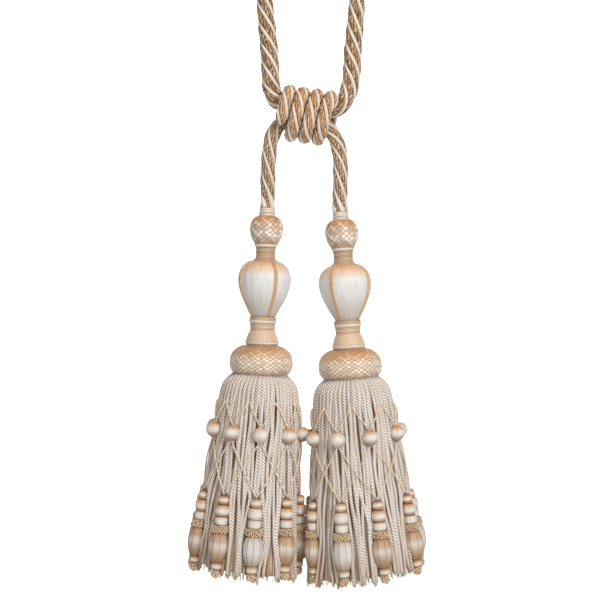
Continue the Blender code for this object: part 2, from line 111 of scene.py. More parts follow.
def blend(first: Array | float, second: Array | float, share: Array) -> Array:
    """The first at share 0, the second at share 1, and evenly between."""
    return first + (second - first) * share


def ease(value: Array, low: float, high: float) -> Array:
    """A smooth rise from 0 at low to 1 at high: 3t² − 2t³ of the clipped share t."""
    share = np.clip((value - low) / (high - low), 0, 1)
    return share * share * (3 - 2 * share)


def smooth_line(points: Array, per_span: int = 10) -> Array:
    """Catmull-Rom curve: each span is the cubic whose ends have the slopes of the chords around them.

    Args:
        points: rows that the curve passes through.
        per_span: how many points each span gets.

    Returns:
        The rows of the finer line, with the first and last row kept.
    """
    ends = np.vstack([2 * points[0] - points[1], points, 2 * points[-1] - points[-2]])
    before, start, end, after = (ends[i : len(ends) - 3 + i, None] for i in range(4))
    t = (np.arange(per_span) / per_span)[None, :, None]
    bend = (2 * before - 5 * start + 4 * end - after) * t**2
    bend = bend + (3 * start - before - 3 * end + after) * t**3
    spans = 0.5 * (2 * start + (end - before) * t + bend)
    return np.vstack([spans.reshape(-1, points.shape[1]), points[-1:]])


def walked(line: Array) -> Array:
    """How far along the line each point lies, from its first three columns: the running sum of the steps."""
    steps = np.linalg.norm(np.diff(line[..., :3], axis=-2), axis=-1)
    return np.concatenate([np.zeros_like(steps[..., :1]), np.cumsum(steps, axis=-1)], axis=-1)


def resampled(line: Array, count: int) -> Array:
    """The same line with that many points, evenly spaced along it.

    Args:
        line: rows of two, three or four columns.
        count: how many rows to return.

    Returns:
        Interpolated rows.
    """
    along = walked(line)
    at = np.linspace(0, along[-1], count)
    return np.stack([np.interp(at, along, column) for column in line.T], axis=1)


def rounded(profile: Profile, rows: int, per_span: int = 8) -> Array:
    """The profile's points joined by a smooth curve, as evenly spaced rows."""
    return resampled(smooth_line(np.array(profile), per_span), rows)


def cross_directions(line: Array, reference: Array) -> tuple[Array, Array]:
    """Two directions square to the line: the reference less its share along the line, and tangent × that.

    Args:
        line: points as (..., rows, 3).
        reference: a direction, or one for each point, that never points along the line.

    Returns:
        The side and the across direction at each point.
    """
    tangent = np.gradient(line, axis=-2)
    tangent /= np.linalg.norm(tangent, axis=-1, keepdims=True)
    side = reference - tangent * (tangent * reference).sum(axis=-1, keepdims=True)
    side /= np.linalg.norm(side, axis=-1, keepdims=True)
    return side, np.cross(tangent, side)


def polar(depth: Array | float, radius: Array | float, angle: Array | float) -> Array:
    """Points (..., 3) of a tassel: (radius · sin angle, −radius · cos angle, −depth)."""
    depth, radius, angle = np.broadcast_arrays(depth, radius, angle)
    return np.stack([radius * np.sin(angle), -radius * np.cos(angle), -depth], axis=-1)


def paired(across: Array, along: Array) -> Array:
    """Surface coordinates of a grid (rows, columns, 2): the count across, and the length along each row."""
    return np.stack(np.broadcast_arrays(across, along[..., None]), axis=-1)


def ridges(phase: Array) -> Array:
    """A row of rounded ridges, one for each whole number: the size of sin(π · phase)."""
    return np.abs(np.sin(math.pi * phase))


def placed(name: str, data: bpy.types.ID, place: Triple = ZERO, turn: Triple = ZERO) -> bpy.types.Object:
    """Puts an object into the scene.

    Args:
        name: its name.
        data: its mesh, lamp or camera.
        place: where it is, in metres.
        turn: its turns about X, Y and Z.

    Returns:
        The object.
    """
    made = bpy.data.objects.new(name, data)
    made.location, made.rotation_euler = place, turn
    bpy.context.scene.collection.objects.link(made)
    return made


@dataclass(frozen=True)
class Place:
    """A turn and then a shift."""

    turn: Array
    shift: Array

    @classmethod
    def about(cls, axis: str, degrees: float, shift: Triple = ZERO) -> "Place":
        """A turn about X, Y or Z, by the usual rotation matrix, and a shift.

        Args:
            axis: "X", "Y" or "Z".
            degrees: the turn, right-handed about the axis.
            shift: where the origin goes.

        Returns:
            The place.
        """
        first, second = {"X": (1, 2), "Y": (2, 0), "Z": (0, 1)}[axis]
        turn, angle = np.eye(3), math.radians(degrees)
        turn[first, first] = turn[second, second] = math.cos(angle)
        turn[second, first] = math.sin(angle)
        turn[first, second] = -math.sin(angle)
        return cls(turn, np.array(shift, float))

    def of(self, points: Array) -> Array:
        """The points after the turn and the shift."""
        return points @ self.turn.T + self.shift

    def then(self, outer: "Place") -> "Place":
        """This place inside another one."""
        return Place(outer.turn @ self.turn, outer.of(self.shift))


class Wire:
    """A node's output, which can be reckoned with like a number."""

    def __init__(self, graph: "Graph", socket: bpy.types.NodeSocket) -> None:
        """Keeps the output and its graph."""
        self.graph, self.socket = graph, socket

    def __add__(self, other: object) -> "Wire":
        """The sum."""
        return self.graph.math("ADD", self, other)

    def __sub__(self, other: object) -> "Wire":
        """The difference."""
        return self.graph.math("SUBTRACT", self, other)

    def __rsub__(self, other: float) -> "Wire":
        """A number less this."""
        return self.graph.math("SUBTRACT", other, self)

    def __mul__(self, other: object) -> "Wire":
        """The product."""
        return self.graph.math("MULTIPLY", self, other)

    def __truediv__(self, other: object) -> "Wire":
        """The quotient."""
        return self.graph.math("DIVIDE", self, other)

    def __abs__(self) -> "Wire":
        """The size without its sign."""
        return self.graph.math("ABSOLUTE", self)

    def floor(self) -> "Wire":
        """The whole number below."""
        return self.graph.math("FLOOR", self)

    def ridge(self) -> "Wire":
        """A row of rounded ridges, one for each whole number: the size of sin(π · phase)."""
        return abs(self.graph.math("SINE", self * math.pi))

    def chance(self) -> "Wire":
        """One random number from 0 to 1 for each whole number."""
        return self.graph.out("TexWhiteNoise", {"W": self.floor()}, "Value", noise_dimensions="1D")

    def noise(self, scale: float, detail: float = 2) -> "Wire":
        """Soft noise about 0.5 at this place, that fine and with that many finer layers."""
        return self.graph.out("TexNoise", {"Vector": self, "Scale": scale, "Detail": detail}, "Fac")

    def span(self, low: float, high: float) -> "Wire":
        """A smooth rise from 0 at low to 1 at high."""
        return self.graph.out("MapRange", {0: self, 1: low, 2: high}, interpolation_type="SMOOTHSTEP")


class Graph:
    """A short way to write a node tree. A value is a number, a colour or a wire."""

    def __init__(self, tree: bpy.types.NodeTree) -> None:
        """Starts on that tree."""
        self.tree = tree

    def feed(self, socket: bpy.types.NodeSocket, value: object) -> None:
        """Links a wire to the socket, or sets a plain value on it.

        Args:
            socket: the input.
            value: a wire, a number, a colour's code or a tuple.
        """
        if isinstance(value, Wire):
            self.tree.links.new(value.socket, socket)
        else:
            socket.default_value = shade(value) if isinstance(value, str) else value

    def set(self, **values: object) -> None:
        """Sets or links the shader's own sockets, named with _ for a space."""
        for key, value in values.items():
            self.feed(self.tree.nodes["Principled BSDF"].inputs[key.replace("_", " ")], value)

    def out(self, kind: str, inputs: dict, output: int | str = 0, **settings: object) -> Wire:
        """One output of a new node.

        Args:
            kind: its type's name without "ShaderNode".
            inputs: values for its inputs.
            output: which output.
            **settings: properties to set on the node.

        Returns:
            The output.
        """
        made = self.tree.nodes.new(f"ShaderNode{kind}")
        for key, value in settings.items():
            setattr(made, key, value)
        for key, value in inputs.items():
            self.feed(made.inputs[key], value)
        return Wire(self, made.outputs[output])

    def math(self, operation: str, *values: object) -> Wire:
        """The result of a Math node, by Blender's name of its operation."""
        return self.out("Math", dict(enumerate(values)), operation=operation)

    def surface(self) -> tuple[Wire, Wire]:
        """The piece's own surface coordinates, across and along."""
        own = self.out("UVMap", {}, uv_map="UVMap")
        return self.out("SeparateXYZ", {0: own}, 0), self.out("SeparateXYZ", {0: own}, 1)

    def tone(self) -> Wire:
        """The tone from 0 to 1 that each strand of a piece carries."""
        return self.out("Attribute", {}, "Fac", attribute_name="tone")

    def place(self) -> Wire:
        """The place on the object."""
        return self.out("TexCoord", {}, "Object")

    def vector(self, *values: object) -> Wire:
        """A vector from up to three values."""
        return self.out("CombineXYZ", dict(enumerate(values)))

    def mix(self, share: object, first: object, second: object, kind: str = "MIX") -> Wire:
        """The first colour at share 0 and the second at share 1, or their product."""
        return self.out("Mix", {0: share, 6: first, 7: second}, 2, data_type="RGBA", blend_type=kind)

    def ramp(self, value: Wire, stops: Stops) -> Wire:
        """The colour between the two stops on either side of the value.

        Args:
            value: a length.
            stops: lengths with their colours, in order.

        Returns:
            The colour.
        """
        low, whole = stops[0][0], stops[-1][0] - stops[0][0]
        made = self.out("ValToRGB", {0: (value - low) / whole})
        elements = made.socket.node.color_ramp.elements
        for index, (length, colour) in enumerate(stops):
            share = (length - low) / whole
            element = elements[index] if index < 2 else elements.new(share)
            element.position, element.color = share, shade(colour)
        return made

    def bump(self, height: Wire, distance: float, **below: Wire) -> Wire:
        """A normal tipped by a height, where 1 stands for that many millimetres, over a coarser Normal."""
        return self.out("Bump", {"Height": height, "Distance": distance * MM, **below})


@dataclass(frozen=True)
class Finish:
    """What every finish has; a kind of finish adds its own pattern."""

    name: str
    light: str
    dark: str
    roughness: float = 0.55
    sheen: float = 0.25

    def material(self) -> bpy.types.Material:
        """Makes the material the first time that it is asked for.

        Returns:
            The material.
        """
        made = bpy.data.materials.get(self.name)
        if made is None:
            made = bpy.data.materials.new(self.name)
            made.use_nodes = True
            graph = Graph(made.node_tree)
            graph.set(Roughness=self.roughness, Sheen_Weight=self.sheen)
            graph.set(Sheen_Roughness=0.4, Specular_IOR_Level=0.4)
            self.pattern(graph)
        return made

    def pattern(self, graph: Graph) -> None:
        """Writes the colour and the bump."""
        raise NotImplementedError

    def lit(self, graph: Graph, share: Wire, height: Wire, relief: float) -> None:
        """Sets the light colour where the share is 1 and the dark one where it is 0, over a bump."""
        graph.set(Base_Color=graph.mix(share, self.dark, self.light), Normal=graph.bump(height, relief))


@dataclass(frozen=True)
class LaidYarn(Finish):
    """Strands laid up from yarns, which lie steeper than the strand and are themselves twisted."""

    middle: str = "808080"
    yarns: float = 6
    rise: float = -4.5
    grain: float = 4.4
    relief: float = 0.9
    lit_paleness: float = 0.5  # how much paler a yarn is at a tone of 1: painted light on the rope below the knot

    def pattern(self, graph: Graph) -> None:
        """A yarn is one ridge of (yarns · strand + length ÷ rise + a little noise).

        A grain of it is one ridge of (length ÷ grain + a start that each yarn has). Both darken to
        their edges, and so does the strand beside the gimps: painted shade in the gaps and the grooves.

        Args:
            graph: the node tree of the material.
        """
        across, along = graph.surface()
        waver = graph.vector(across * 4, along * 0.3).noise(1)
        phase = across * self.yarns + (waver * 1.6 + along / self.rise)
        count = along / self.grain + (phase.floor() * 0.5 + waver * 1.5)
        grain = phase.ridge() * (count.ridge() * 0.6 + 0.4)
        own = (count.floor() * 13 + phase.floor()).chance()
        drift = graph.vector(across, along * 0.1).noise(1.5)
        # the tone makes the yarn paler: painted light on the rope below the knot
        pale = (graph.tone() * self.lit_paleness + (own * 0.5 + drift)).span(0.4, 0.95)
        # the gaps between yarns and grains take the dark colour: painted shade
        colour = graph.mix(grain.span(0.1, 0.72), self.dark, graph.mix(pale, self.middle, self.light))
        # painted shade: the strand darkens into the groove beside each gimp
        edge = across.ridge().span(0.32, 0.78)
        graph.set(Base_Color=graph.mix(edge, self.dark, colour), Normal=graph.bump(grain, self.relief))


@dataclass(frozen=True)
class Gimp(Finish):
    """A core closely wound with thread that runs round it."""

    pitch: float = 0.55
    relief: float = 0.1

    def pattern(self, graph: Graph) -> None:
        """The winding is one ridge of (length ÷ pitch + turn), and its tone drifts along the cord.

        Args:
            graph: the node tree of the material.
        """
        across, along = graph.surface()
        ridge = (along / self.pitch + across).ridge()
        drift = graph.vector(across, along * 0.2).noise(2)
        self.lit(graph, (ridge * drift).span(0, 0.45), ridge, self.relief)


@dataclass(frozen=True)
class Plied(Finish):
    """A cord of plies twisted together, with painted shade in the gap between them."""

    plies: float = 3
    period: float = 2.4
    relief: float = 0.45
    depth: float = 0.85
    # the gap and side colours are painted shade: between the plies and on the cord's flanks
    gap: str = "404040"
    side: str = "907060"
    foot: tuple[float, float] = (132, 158)  # between these lengths the cord takes more of the side colour: painted shade near the hem

    def pattern(self, graph: Graph) -> None:
        """A ply is one ridge of (plies · turn + length ÷ period), and the gap between two is dark: painted
        shade.

        The gap is darkest on the cord's flanks, away from the outward side at turn 0. The flanks are a
        little warmer, and so is the cord near its foot: painted shade on the flanks and at the hem.

        Args:
            graph: the node tree of the material.
        """
        across, along = graph.surface()
        phase = across * self.plies + along / self.period
        ridge = phase.ridge()
        fibres = graph.vector(phase * 6, along).noise(1.2)
        drift = graph.vector(graph.tone(), along * 0.02).noise(3)
        ply = graph.mix((graph.tone() * 0.6 + drift).span(0.3, 1.1), self.dark, self.light)
        outward = abs(graph.math("FRACT", across) - 0.5).span(0.2, 0.42)
        # painted shade: near the hem the cord takes more of the side colour
        hem_shade = along.span(*self.foot) * -0.3
        # painted shade: the flanks, away from the outward side, take the side colour
        ply = graph.mix(outward * 0.6 + (hem_shade + 0.4), self.side, ply)
        # painted shade: the gap between plies takes the gap colour, most on the flanks
        hidden = (1 - ridge.span(0.02, self.depth)) * (outward * -0.25 + 1)
        graph.set(Base_Color=graph.mix(hidden, ply, self.gap))
        graph.set(Normal=graph.bump(fibres, 0.08, Normal=graph.bump(ridge, self.relief)))


@dataclass(frozen=True)
class Wound(Finish):
    """Thread wound round a mould, turn beside turn."""

    pitch: float = 0.9
    relief: float = 0.14

    def pattern(self, graph: Graph) -> None:
        """A thread is one ridge of (length ÷ pitch + turn), each with its own tone.

        Args:
            graph: the node tree of the material.
        """
        across, along = graph.surface()
        phase = along / self.pitch + across
        fibre = graph.vector(across * 3, phase * 2.5).noise(1.5)
        tint = phase.chance() * 0.22 + fibre * 0.2
        self.lit(graph, (phase.ridge() * 0.62 + tint).span(0.3, 0.86), phase.ridge(), self.relief)


@dataclass(frozen=True)
class Stitched(Finish):
    """Thread stitched up and down over an edge, side by side round the mould."""

    stitches: float = 90
    relief: float = 0.12

    def pattern(self, graph: Graph) -> None:
        """A stitch is one ridge of (stitches · turn).

        Args:
            graph: the node tree of the material.
        """
        phase = graph.surface()[0] * self.stitches
        share = (phase.chance() * 0.4 + phase.ridge() * 0.6).span(0.1, 0.85)
        self.lit(graph, share, phase.ridge(), self.relief)


@dataclass(frozen=True)
class Floss(Finish):
    """Satin floss laid lengthwise, which throws a band of light across itself."""

    threads: float = 60
    # colours down the mould, which paint its light and shade
    stops: Stops = ()
    strength: float = 0.35
    anisotropy: float = 0.8
    ragged: float = 3  # how far the streaks draw the colours into each other, in millimetres
    veil: float = 0  # how much of the light colour lies over the others at a tone of 1

    def pattern(self, graph: Graph) -> None:
        """Streaks of noise, fine round the mould and long down it, darken a colour that changes down it.

        Where the floss has stops, their colours paint its light and shade down it: warm top light and
        highlight bands on some, shade at the ends and the foot.

        Args:
            graph: the node tree of the material.
        """
        across, along = graph.surface()
        streak = graph.vector(across * self.threads, along * 0.04).noise(1.6, 4)
        # painted light and shade down the mould, from the stops
        body = graph.ramp((streak - 0.5) * self.ragged + along, self.stops) if self.stops else self.light
        if self.veil:
            body = graph.mix(graph.tone() * self.veil, body, self.light)
        share = (1 - streak.span(0.3, 0.62)) * self.strength
        graph.set(Base_Color=graph.mix(share, body, self.dark), Anisotropic=self.anisotropy)
        graph.set(Specular_IOR_Level=0.6, Normal=graph.bump(streak, 0.16))
        graph.set(Tangent=graph.out("Tangent", {}, direction_type="UV_MAP", uv_map="UVMap"))


@dataclass(frozen=True)
class Plaited(Finish):
    """Bands of floss plaited on the slant over a mould, with tan thread in the corners between them."""

    edge: str = "C09870"
    dot: str = "9E744A"
    broad: float = 0.4  # how far the edge colour reaches in, as the height of the ridge
    # colours by depth, which paint the warm top light and the shade beneath
    stops: Stops = ()
    relief: float = 0.3

    def pattern(self, graph: Graph) -> None:
        """The surface coordinates count the bands each way, and the tone is the depth below the collar, down
        which the stops paint light and shade: a warm top light and the shade beneath.

        A cell is a pillow whose threads run with the upper band. It darkens a little to its four
        edges, and fully at its corners, where the ridges of both bands end.

        Args:
            graph: the node tree of the material.
        """
        first, second = graph.surface()
        first = graph.place().noise(200, 1) * 0.7 + first
        second = graph.place().noise(240, 1) * 0.7 + second
        over = graph.math("PINGPONG", first.floor() + second.floor(), 1)
        fibre = graph.mix(over, graph.vector(first), graph.vector(second, 5)).noise(16)
        own = (first.floor() * 17 + second.floor()).chance()
        band = graph.mix((own * 0.7 + fibre * 0.5).span(0.25, 0.85), self.dark, self.light)
        thin, corner = (graph.math(kind, first.ridge(), second.ridge()) for kind in ("MINIMUM", "MAXIMUM"))
        band = graph.mix(thin.span(0.12 * self.broad, self.broad), self.edge, band)
        band = graph.mix(corner.span(0.15, 0.6), self.dot, band)
        # painted light and shade: the bands are tinted by depth from the stops
        graph.set(Base_Color=graph.mix(1, band, graph.ramp(graph.tone(), self.stops), "MULTIPLY"))
        graph.set(Normal=graph.bump(fibre, 0.06, Normal=graph.bump(thin.span(0, 0.9), self.relief)))


@dataclass(frozen=True)
class Paper(Finish):
    """The plain pale floor and backdrop, which glow a little behind the tieback so that they stay even."""

    glow: float = 0.95

    def pattern(self, graph: Graph) -> None:
        """A very faint cloudiness, and a glow behind the tieback and all round beyond the lamps.

        Args:
            graph: the node tree of the material.
        """
        place = graph.place()
        behind = graph.out("SeparateXYZ", {0: place}, 1).span(0.25, 0.5)
        beyond = graph.out("VectorMath", {0: place}, "Value", operation="LENGTH").span(1, 1.9)
        graph.set(Base_Color=graph.mix(place.noise(3), self.dark, self.light), Emission_Color=self.light)
        graph.set(Emission_Strength=graph.math("MAXIMUM", behind, beyond) * self.glow)


# In the floss stops the tan and peach at the top are partly painted warm top light, the white across the
# middle a painted highlight band, and the beige and umber towards the ends painted shade; white and shadow
# are also the floss's own colour and its streaks.
WHITE, SHADOW, TAN, TOP_LIT_PEACH, BEIGE, SHADED_UMBER = "EEECE8", "8A6642", "CC9E70", "DEBC98", "C8B29C", "8C623A"

# The yarns' dark colours are painted shade, in the gaps between yarns and beside the gimps.
GOLD_YARN = LaidYarn("gold yarn", "D8B890", "38210E", 0.5, 0.3, middle="A4784D", yarns=5)
KNOT_YARN = LaidYarn("knot yarn", "FCD4A2", "5C3618", 0.5, 0.3, middle="DEA068")
IVORY_GIMP = Gimp("ivory gimp", "F2EAE2", "CEBEAC", 0.4, 0.3)
TAN_GIMP = Gimp("tan gimp", "ECC69A", "A07044", 0.5, 0.3, pitch=1.5, relief=0.3)
COLLAR_THREAD = Wound("collar thread", "F6F0E6", "A8927A", 0.45, 0.3, pitch=1.3, relief=0.3)
RING_THREAD = Gimp("ring thread", "F6F0E8", "C4B4A0", 0.48, 0.3, pitch=1.2, relief=0.2)
WAIST_THREAD = Wound("waist thread", "E4CAAC", "8C6844", 0.48, 0.3, pitch=1.1, relief=0.25)
# Its stops paint a peach top of warm top light, a white belt and a darker, shaded underside.
BALL_PLAIT = Plaited(
    "ball plait", "FFFDFA", "CEC4BA", 0.36, 0.2, edge="C09870", dot="9E744A", broad=0.34,
    stops=((6, "DEAE7E"), (10, "EECAA8"), (13.5, "FAEEE2"), (22, "FAF8F6"), (26, "E4D6C6"), (29, "BEA488")),
)
# Its stops paint shade where it meets the ring, a peach top of warm top light, a white belt and a shaded
# underside.
BUN_PLAIT = Plaited(
    "bun plait", "FFFDFA", "E0D4C6", 0.36, 0.2, edge="D0B08E", dot="966C42", broad=0.55,
    stops=(
        (109, "AA7642"), (110.5, "DCAE7E"), (113, "ECC8A2"), (117, "F6E0C8"), (121, "FFFDFA"),
        (127, "FAF6F0"), (130, "E4D6C6"), (134, "C0A88E"),
    ),
)
# The upper neck's thread is a darker copy and the lower neck's a paler copy of the same thread: painted shade
# and painted light.
NECK_THREAD = Wound("neck thread", "DCC2A8", "8E6E4E", 0.42, 0.25, pitch=1.1, relief=0.25)
LOW_NECK_THREAD = replace(NECK_THREAD, name="low neck thread", light="F2DAC2", dark="A28262")
FLARE_THREAD = Stitched("flare thread", "EAD2BC", "C4A688", 0.45, 0.25, stitches=110, relief=0.06)
# Its stops paint light and shade: a peach cap of warm top light, and grey towards the foot for the shaded
# underside.
BULB_FLOSS = Floss(
    "bulb floss", "ECEBE9", "B0A698", 0.46, 0.1, threads=84, strength=0.3, ragged=6,
    stops=(
        (0, "DEB694"), (9, "E4C2A4"), (13.5, "EAD4C0"), (18.5, "E8EAEB"), (32, "E2E4E5"), (44, "D0CECA"),
        (60, "BCB4AA"),
    ),
)
# The cords' gap and side colours are painted shade.
SKIRT_CORD = Plied("skirt cord", "FFFDFA", "F6EEE5", 0.6, 0.3, gap="764E26", side="CEA478")
# The inner cords are a darker, browner copy of the skirt cord: painted shade under the outer layer.
INNER_CORD = Plied("inner skirt cord", "E4CEB6", "CCAE8E", 0.66, 0.25, gap="76502C", side="AA7E52")
# Its stops are painted shade: dark brown high inside the skirt, pale lower down, darker again at the hem.
INNER_FLOSS = Floss(
    "inner floss", "E2D6C8", "A08466", 0.6, 0.3, threads=110, strength=0.45, ragged=8,
    stops=(
        (0, "A47C54"), (60, "B8946E"), (112, "C4A482"), (128, "E2D6C8"), (140, "DED0C0"), (150, "B89E82"),
    ),
)
LOOSE_FLOSS = Floss("loose floss", "E8E1D7", "BCAE9C", 0.5, 0.3, threads=120)
NET_CORD = Plied(
    "net cord", "FAEEDC", "EEDABE", 0.5, 0.3, plies=2, period=1, relief=0.15, gap="E4C8A8", side="F0DABE",
)
# Its stops paint light and shade: a tan and peach top partly of warm top light, a white highlight band,
# darker below.
BEAD_FLOSS = Floss(
    "bead floss", WHITE, SHADOW, 0.42, 0.1, threads=40, strength=0.3, veil=0.5,
    stops=(
        (0, TAN), (3.4, TAN), (5, TOP_LIT_PEACH), (7.4, WHITE), (9.6, WHITE), (12, BEIGE), (14.6, "B08C6A"),
        (18, "926E4A"),
    ),
)
# Its stops paint shaded dark ends, a peach top of warm top light, a white highlight band and tan below.
CAP_FLOSS = replace(
    BEAD_FLOSS, name="cap floss", threads=30, strength=0.25, ragged=0.8, veil=0.15,
    stops=(
        (0.9, "845830"), (2, "C08A58"), (3.2, TOP_LIT_PEACH), (4.2, WHITE), (5.2, WHITE), (6.2, TAN), (7.6, "B07A4A"),
        (8.6, "845830"),
    ),
)
# Its stops paint shaded dark ends, a peach top of warm top light and a white highlight band.
BARREL_FLOSS = replace(
    BEAD_FLOSS, name="barrel floss", strength=0.25, ragged=1.4, veil=0.6,
    stops=(
        (1, SHADED_UMBER), (2.2, TAN), (4, TOP_LIT_PEACH), (5.4, WHITE), (7.4, WHITE), (8.8, BEIGE), (10, TAN),
        (11.2, SHADED_UMBER),
    ),
)
# Its stops paint shaded dark ends and a white highlight band.
LOW_FLOSS = replace(
    BARREL_FLOSS, name="low barrel floss", ragged=1.2, veil=0.4,
    stops=((1.2, SHADED_UMBER), (2.4, "D8BA9A"), (3.6, WHITE), (6.8, WHITE), (8.4, "C4A686")),
)
# The pears' darker top and foot are painted shade; the tan pear's pale band is a painted highlight, and the
# ivory pear's white middle is its own colour with a painted highlight.
IVORY_PEAR = Floss(
    "ivory pear floss", WHITE, "967C60", 0.42, 0.1, threads=54, strength=0.3,
    stops=((0, "9E7E5C"), (3, "CEC2B4"), (8, "E4E3E1"), (14, "E8E9E9"), (19, "D4CEC6"), (27, "A48A6E")),
)
TAN_PEAR = Floss(
    "tan pear floss", WHITE, "886644", 0.42, 0.1, threads=54, strength=0.25, ragged=3.5,
    stops=(
        (0, "8A6846"), (3, "B89876"), (8, "CCB094"), (11.5, "E8E0D8"), (14, "DCD0C4"), (18.5, "BEA488"),
        (27, "8E6A46"),
    ),
)
RIB_THREAD = Gimp("rib thread", "AC845C", "7A5636", 0.55, 0.25)
GOLD_LOOP = Gimp("gold loops", "FFEACA", "CE9E6C", 0.42, 0.3, pitch=1.7, relief=0.3)
# The loops' core is dark so that the gaps between the loops read as shade: painted shade.
LOOP_CORE = Wound("loop core", "966C42", "604022", 0.7, 0.1, pitch=0.8)
PAPER = Paper("pale paper", "FAFAF9", "F6F6F5", 0.9, 0)


def fill(target: bpy.types.bpy_prop_collection, key: str, values: Array) -> None:
    """Sets a whole array on a mesh, as 32-bit numbers."""
    kind = np.float32 if values.dtype.kind == "f" else np.int32
    target.foreach_set(key, values.astype(kind).ravel())


class Piece:
    """Collects closed surfaces in millimetres and makes one named object of them."""

    KEYS = ("points", "corners", "sizes", "maps", "tones", "looks")

    def __init__(self, name: str, place: Place = Place(np.eye(3), np.zeros(3))) -> None:
        """Starts an empty piece.

        Args:
            name: its name.
            place: where its surfaces go.
        """
        self.name, self.place, self.count = name, place, 0
        self.finishes: list[Finish] = []
        self.parts: dict[str, list[Array]] = {key: [] for key in self.KEYS}

    def add(self, rings: Array, surface_map: Array, finish: Finish, tone: Array | float = 0.5) -> "Piece":
        """Adds tubes, each a grid of rings closed round its sides and capped at both ends.

        Args:
            rings: points as (rows, sides, 3), or (tubes, rows, sides, 3).
            surface_map: coordinates as (rows, sides + 1, 2), with the same tubes in front.
            finish: what the surface is made of.
            tone: a number, or one for each tube, or one for each row of them.

        Returns:
            The piece.
        """
        rings = self.place.of(rings)
        if rings.ndim == 3:
            rings, surface_map = rings[None], surface_map[None]
        tubes, rows, sides = rings.shape[:3]
        surface_map = np.broadcast_to(surface_map, (tubes, rows, sides + 1, 2))
        points = [rings.reshape(tubes, -1, 3), rings[:, [0, -1]].mean(axis=2)]
        points = np.concatenate(points, axis=1).reshape(-1, 3)
        start = (np.arange(tubes) * (rows * sides + 2))[:, None, None]
        at = start + np.arange(rows * sides).reshape(1, rows, sides)
        tips = 0 * at[:, [0, -1]] + start + rows * sides + np.arange(2)[:, None]
        left, right = surface_map[:, :, :-1], surface_map[:, :, 1:]
        middle = (left + right)[:, [0, -1]] / 2
        here, beside, tip = (  # a corner is its point's number and its two surface coordinates
            np.concatenate([number[..., None], own], axis=-1)
            for number, own in ((at, left), (np.roll(at, -1, axis=2), right), (tips, middle))
        )
        quads = np.stack([here[:, :-1], beside[:, :-1], beside[:, 1:], here[:, 1:]], axis=-2)
        heads = np.stack([beside[:, 0], here[:, 0], tip[:, 0]], axis=-2)
        feet = np.stack([here[:, -1], beside[:, -1], tip[:, 1]], axis=-2)
        quads, threes = quads.reshape(-1, 4, 3), np.concatenate([heads, feet], axis=1).reshape(-1, 3, 3)
        halves = np.concatenate([quads[:, [0, 1, 2], 0], quads[:, [0, 2, 3], 0], threes[..., 0]]).astype(int)
        way = 1 if self.volume(points - points.mean(axis=0), halves) >= 0 else -1
        if finish not in self.finishes:
            self.finishes.append(finish)
        own = np.asarray(tone, float)
        own = own if own.ndim == 2 else np.repeat(np.broadcast_to(own, (tubes,))[:, None], rows, axis=1)
        tones = np.concatenate([np.repeat(own, sides, axis=1), own[:, [0, -1]]], axis=1)
        self.parts["points"].append(points)
        self.parts["tones"].append(tones.ravel())
        for faces in (quads[:, ::way], threes[:, ::way]):
            self.parts["corners"].append(faces[..., 0].astype(int).ravel() + self.count)
            self.parts["maps"].append(faces[..., 1:].reshape(-1, 2))
            self.parts["sizes"].append(np.full(len(faces), faces.shape[1]))
            self.parts["looks"].append(np.full(len(faces), self.finishes.index(finish)))
        self.count += len(points)
        return self

    @staticmethod
    def volume(points: Array, triangles: Array) -> float:
        """What they enclose, positive if they face outwards: a sixth of the sum of a · (b × c)."""
        a, b, c = (points[triangles[:, i]] for i in range(3))
        return float((a * np.cross(b, c)).sum() / 6)

    def tubes(
        self, lines: Array, radius: Array | float, sides: int, reference: Array | Triple, finish: Finish,
        tone: Array | float = 0.5, start: Array | float = 0,
    ) -> "Piece":
        """Adds round tubes along lines: centre + radius · (cos a · side + sin a · across).

        Args:
            lines: middles as (..., rows, 3).
            radius: one radius, or one for each row.
            sides: how many points a ring has.
            reference: the direction that the first point of each ring leans to.
            finish: what the tubes are made of.
            tone: as in add.
            start: a length that each tube's own count starts from.

        Returns:
            The piece.
        """
        side, across = cross_directions(lines, np.asarray(reference, float))
        angle = TAU * np.arange(sides)[:, None] / sides
        ring = np.cos(angle) * side[..., None, :] + np.sin(angle) * across[..., None, :]
        reach = np.broadcast_to(np.asarray(radius, float), lines.shape[:-1])
        rings = lines[..., None, :] + reach[..., None, None] * ring
        along = walked(lines) + np.asarray(start, float)[..., None]
        return self.add(rings, paired(np.arange(sides + 1) / sides, along), finish, tone)

    def turned(
        self, profile: Array, columns: int, finish: Finish, tone: Array | float = 0.5,
        relief: Array | float = 0, surface_map: Array | None = None,
    ) -> "Piece":
        """Adds a surface of revolution: each profile row, moved out along its own normal by the relief.

        Args:
            profile: rows of depth and radius.
            columns: how many points there are round the axis, the first of them at the back.
            finish: what it is made of.
            tone: as in add.
            relief: height over the profile as (rows, columns), or one number.
            surface_map: coordinates, if they aren't the share of a turn and the length down.

        Returns:
            The piece.
        """
        slope = np.gradient(profile, axis=0)
        slope /= np.linalg.norm(slope, axis=1)[:, None]
        height = np.broadcast_to(relief, (len(profile), columns))
        depth = profile[:, :1] - slope[:, 1:] * height
        radius = profile[:, 1:] + slope[:, :1] * height
        if surface_map is None:
            surface_map = paired(np.arange(columns + 1) / columns, walked(profile))
        rings = polar(depth, radius, math.pi + TAU * np.arange(columns) / columns)
        return self.add(rings, surface_map, finish, tone)

